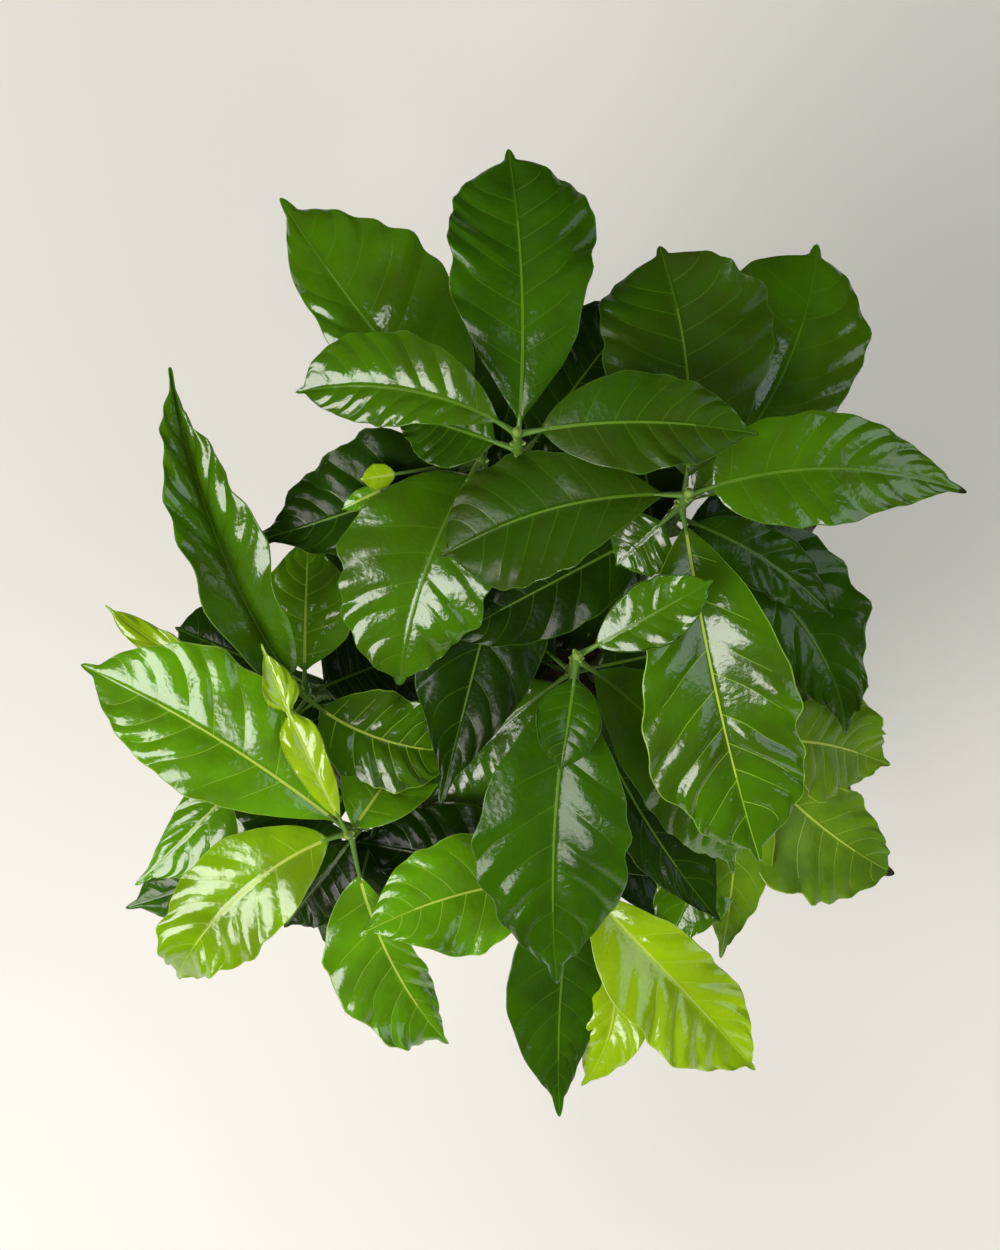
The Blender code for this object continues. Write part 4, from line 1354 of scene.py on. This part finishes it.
class PLANT_OT_soil(bpy.types.Operator):
    """Make the potting soil with its chips and pale grains"""

    bl_idname = "plant.soil"
    bl_label = "Soil"

    def execute(self, context):
        look = context.scene.soil_settings
        rng = random.Random(SOIL_SEED)
        top_radius = POT_FOOT_RADIUS - POT_WALL + POT_SLOPE * SOIL_TOP - CLEARANCE
        bottom = POT_FLOOR + CLEARANCE
        low_radius = POT_FOOT_RADIUS - POT_WALL + POT_SLOPE * bottom - CLEARANCE
        builder = Builder()
        rings = [0.001] + list(np.linspace(1.8, top_radius, SOIL_RINGS))
        turn = 2 * np.pi * np.arange(SOIL_SPOKES) / SOIL_SPOKES
        points = []
        for radius in rings:
            x = radius * np.cos(turn)
            y = radius * np.sin(turn)
            rise = self.surface(x, y, top_radius)
            points.append(np.stack([x, y, SOIL_TOP + rise], axis=1))
        for radius, height in ((top_radius, SOIL_TOP - 4), (low_radius, bottom)):
            points.append(np.stack([radius * np.cos(turn), radius * np.sin(turn),
                                    np.full(SOIL_SPOKES, height)], axis=1))
        faces = [tuple(reversed(face)) for face in ring_faces(len(points), SOIL_SPOKES)]
        faces.append(tuple(range(SOIL_SPOKES)))
        last = SOIL_SPOKES * (len(points) - 1)
        faces.append(tuple(reversed(range(last, last + SOIL_SPOKES))))
        builder.add(np.concatenate(points), faces, 0)
        for k in range(look.chips + look.grains):
            self.crumb(builder, rng, k < look.chips, top_radius)
        skins = [two_tone_material("potting_soil_skin", look.dark, look.light, 700.0, 0.95, 1.0),
                 two_tone_material("bark_chip", CHIP_DARK, CHIP_LIGHT, 500.0, 0.85, 0.6),
                 two_tone_material("pale_grain", tuple(0.8 * c for c in look.grain), look.grain,
                                   900.0, 0.9, 0.5)]
        soil = settle(builder.build("soil_surface", skins))
        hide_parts("soil")
        return {"FINISHED"}

    @staticmethod
    def surface(x, y, limit):
        """Rise of the soil over its level: small clods, and a little mound at every stem."""
        rise = 0.9 * np.sin(0.31 * x + 0.7) * np.sin(0.27 * y + 1.9)
        rise = rise + 0.7 * np.sin(0.83 * x + 2.1 + np.sin(0.5 * y)) * np.sin(0.71 * y)
        rise = rise + 0.45 * np.sin(1.9 * x + 0.3 * y) * np.sin(1.7 * y - 0.4 * x + 1.0)
        edge = np.clip((limit - np.hypot(x, y)) / 6.0, 0, 1)
        rise = rise * edge - 1.6 * (1 - edge)
        for seedling in SEEDLINGS.values():
            x0, y0 = seedling["root"]
            near = np.exp(-(((x - x0)**2 + (y - y0)**2) / MOUND_AREA))
            rise = rise * (1 - near) + MOUND_HEIGHT * near
        return rise

    def crumb(self, builder, rng, chip, limit):
        """One loose chip or grain lying on the soil."""
        radius = (limit - 4.0) * math.sqrt(rng.random())
        turn = rng.uniform(0, 2 * math.pi)
        x = radius * math.cos(turn)
        y = radius * math.sin(turn)
        for seedling in SEEDLINGS.values():
            if math.hypot(x - seedling["root"][0], y - seedling["root"][1]) < CRUMB_FREE:
                return
        ranges = CHIP_RANGES if chip else GRAIN_RANGES
        size, flat, long = [rng.uniform(*limits) for limits in ranges]
        corners = []
        for tall, reach in CRUMB_RINGS:
            for k in range(CRUMB_SIDES):
                angle = 2 * math.pi * (k + rng.uniform(-0.2, 0.2)) / CRUMB_SIDES
                out = reach * rng.uniform(0.8, 1.15)
                corners.append((long * out * math.cos(angle), out * math.sin(angle),
                                flat * tall * rng.uniform(0.8, 1.1)))
        corners = size * np.array(corners)
        spin = rng.uniform(0, 2 * math.pi)
        tilt = rng.uniform(-0.5, 0.5)
        about_z = np.array([[math.cos(spin), -math.sin(spin), 0],
                            [math.sin(spin), math.cos(spin), 0], [0, 0, 1]])
        about_x = np.array([[1, 0, 0], [0, math.cos(tilt), -math.sin(tilt)],
                            [0, math.sin(tilt), math.cos(tilt)]])
        level = SOIL_TOP + float(self.surface(np.array(x), np.array(y), limit))
        corners = corners @ about_x.T @ about_z.T + np.array([x, y, level + 0.35 * size * flat])
        builder.add(corners, capped_rings(len(CRUMB_RINGS), CRUMB_SIDES), 1 if chip else 2)


class PLANT_OT_bark(bpy.types.Operator):
    """Make the bare woody stems with their bark"""

    bl_idname = "plant.bark"
    bl_label = "Woody stems"

    def execute(self, context):
        look = context.scene.stem_settings
        skin = two_tone_material("stem_bark", look.bark_dark, look.bark_light, 900.0, 0.82, 0.7,
                                 grain=0.65, edges=(0.36, 0.64), depth=0.0008,
                                 stretch=(1.0, 1.0, 0.14))
        for number, (name, seedling) in enumerate(SEEDLINGS.items()):
            builder = Builder()
            add_bark_stem(builder, seedling, random.Random(BARK_SEED + number), 0, look.ridge)
            stem = settle(builder.build("bark_" + name, [skin]))
            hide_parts("stem_" + name)
        return {"FINISHED"}


class PLANT_OT_green(bpy.types.Operator):
    """Make the green upper stems with their leaf stalks and buds"""

    bl_idname = "plant.green"
    bl_label = "Green stems"

    def execute(self, context):
        look = context.scene.stem_settings
        green = leaf_material("green_stem", look.green, tuple(0.75 * c for c in look.green), 0.4,
                              0.55)
        bud = leaf_material("bud_scale", look.bud, tuple(0.8 * c for c in look.bud), 0.35, 0.45)
        lower = lower_leaves()
        for name, seedling in SEEDLINGS.items():
            rows = list(seedling["leaves"]) + lower[name]
            builder = Builder()
            add_green_stem(builder, seedling, rows, (0, 1))
            for row in rows:
                add_petiole(builder, seedling, row, 0)
            stem = settle(builder.build("green_stem_" + name, [green, bud]))
            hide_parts("leaves_" + name)
        return {"FINISHED"}


class PLANT_OT_leaves(bpy.types.Operator):
    """Make the leaf blades of every seedling"""

    bl_idname = "plant.leaves"
    bl_label = "Leaves"

    def execute(self, context):
        look = context.scene.leaf_settings
        skins = blade_materials(look)
        lower = lower_leaves()
        for number, (name, seedling) in enumerate(SEEDLINGS.items()):
            builder = Builder()
            rng = random.Random(BLADE_SEED + number)
            for row in seedling["leaves"]:
                add_blade(builder, seedling, row, rng, True, look.relief)
            for row in lower[name]:
                add_blade(builder, seedling, row, rng, False, look.relief)
            blades = settle(builder.build("blades_" + name, skins))
            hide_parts("leaves_" + name)
        return {"FINISHED"}


class PLANT_OT_stage(bpy.types.Operator):
    """Make the floor, lights and camera"""

    bl_idname = "plant.stage"
    bl_label = "Stage"

    def execute(self, context):
        look = context.scene.stage_settings
        start_clean()
        bpy.ops.mesh.primitive_plane_add(size=12.0, location=(0, 0, -0.0002))
        floor = context.object
        floor.name = "pale_floor"
        made, tree, shader = new_material("pale_paper")
        mottle = place_group(tree, "soft_mottle", Colour=four(look.floor),
                             Patch_colour=four(tuple(0.985 * c for c in look.floor)),
                             Patch_scale=3.0, Smooth=0.7, Rough=0.8)
        join(tree, (mottle, "Colour", shader, "Base Color"),
             (mottle, "Roughness", shader, "Roughness"))
        set_skin(floor, made)
        start_clean()
        world = bpy.data.worlds.new("soft_room")
        world.use_nodes = True
        background = world.node_tree.nodes["Background"]
        background.inputs["Color"].default_value = four(ROOM_COLOUR)
        background.inputs["Strength"].default_value = look.sky
        context.scene.world = world
        powers = {"key": look.key, "fill": look.fill, "weak": WEAK_SHARE * look.fill}
        for name, towards, distance, size, power, colour in LIGHTS:
            light = self.area(name, towards, distance, size, powers[power], colour)
            light.visible_glossy = power != "weak"
        world.cycles_visibility.glossy = False
        camera = bpy.data.cameras.new("overhead")
        camera.lens = CAMERA_LENS
        camera.sensor_width = 36.0
        camera.clip_start = 0.01
        camera.clip_end = 50.0
        overhead = bpy.data.objects.new("overhead", camera)
        overhead.location = CAMERA_AT
        context.scene.collection.objects.link(overhead)
        context.scene.camera = overhead
        context.scene.view_settings.view_transform = "Standard"
        context.scene.view_settings.look = "None"
        return {"FINISHED"}

    @staticmethod
    def area(name, towards, distance, size, power, colour):
        """Square soft light that looks at the plant."""
        light = bpy.data.lights.new(name, "AREA")
        light.shape = "SQUARE"
        light.size = size
        light.energy = power
        light.color = colour
        made = bpy.data.objects.new(name, light)
        towards = np.array(towards) / np.linalg.norm(towards)
        made.location = np.array(LIGHT_AIM) + distance * towards
        heading = math.atan2(towards[1], towards[0])
        made.rotation_euler = (math.acos(towards[2]), 0.0, heading + math.pi / 2)
        bpy.context.scene.collection.objects.link(made)
        return made


class PLANT_PT_panel(bpy.types.Panel):
    """The plant's settings and steps"""

    bl_idname = "PLANT_PT_panel"
    bl_label = "Coffee Plant"
    bl_space_type = "VIEW_3D"
    bl_region_type = "UI"
    bl_category = "Plant"

    def draw(self, context):
        for key, group in SETTINGS.items():
            box = self.layout.box()
            settings = getattr(context.scene, key)
            for label in group.__annotations__:
                box.prop(settings, label)
        for step in STEPS:
            self.layout.operator(step.bl_idname)


STEPS = (PLANT_OT_pot, PLANT_OT_soil, PLANT_OT_bark, PLANT_OT_green, PLANT_OT_leaves,
         PLANT_OT_stage)


def register():
    """Register the settings, steps and panel."""
    for group in SETTINGS.values():
        bpy.utils.register_class(group)
    for key, group in SETTINGS.items():
        setattr(bpy.types.Scene, key, bpy.props.PointerProperty(type=group))
    for step in STEPS + (PLANT_PT_panel,):
        bpy.utils.register_class(step)


def unregister():
    """Take the panel, steps and settings away again."""
    for step in reversed(STEPS + (PLANT_PT_panel,)):
        bpy.utils.unregister_class(step)
    for key in SETTINGS:
        delattr(bpy.types.Scene, key)
    for group in SETTINGS.values():
        bpy.utils.unregister_class(group)


def main():
    """Make every piece in order."""
    register()
    bpy.ops.plant.pot()
    bpy.ops.plant.soil()
    bpy.ops.plant.bark()
    bpy.ops.plant.green()
    bpy.ops.plant.leaves()
    bpy.ops.plant.stage()


if __name__ == "__main__":
    main()
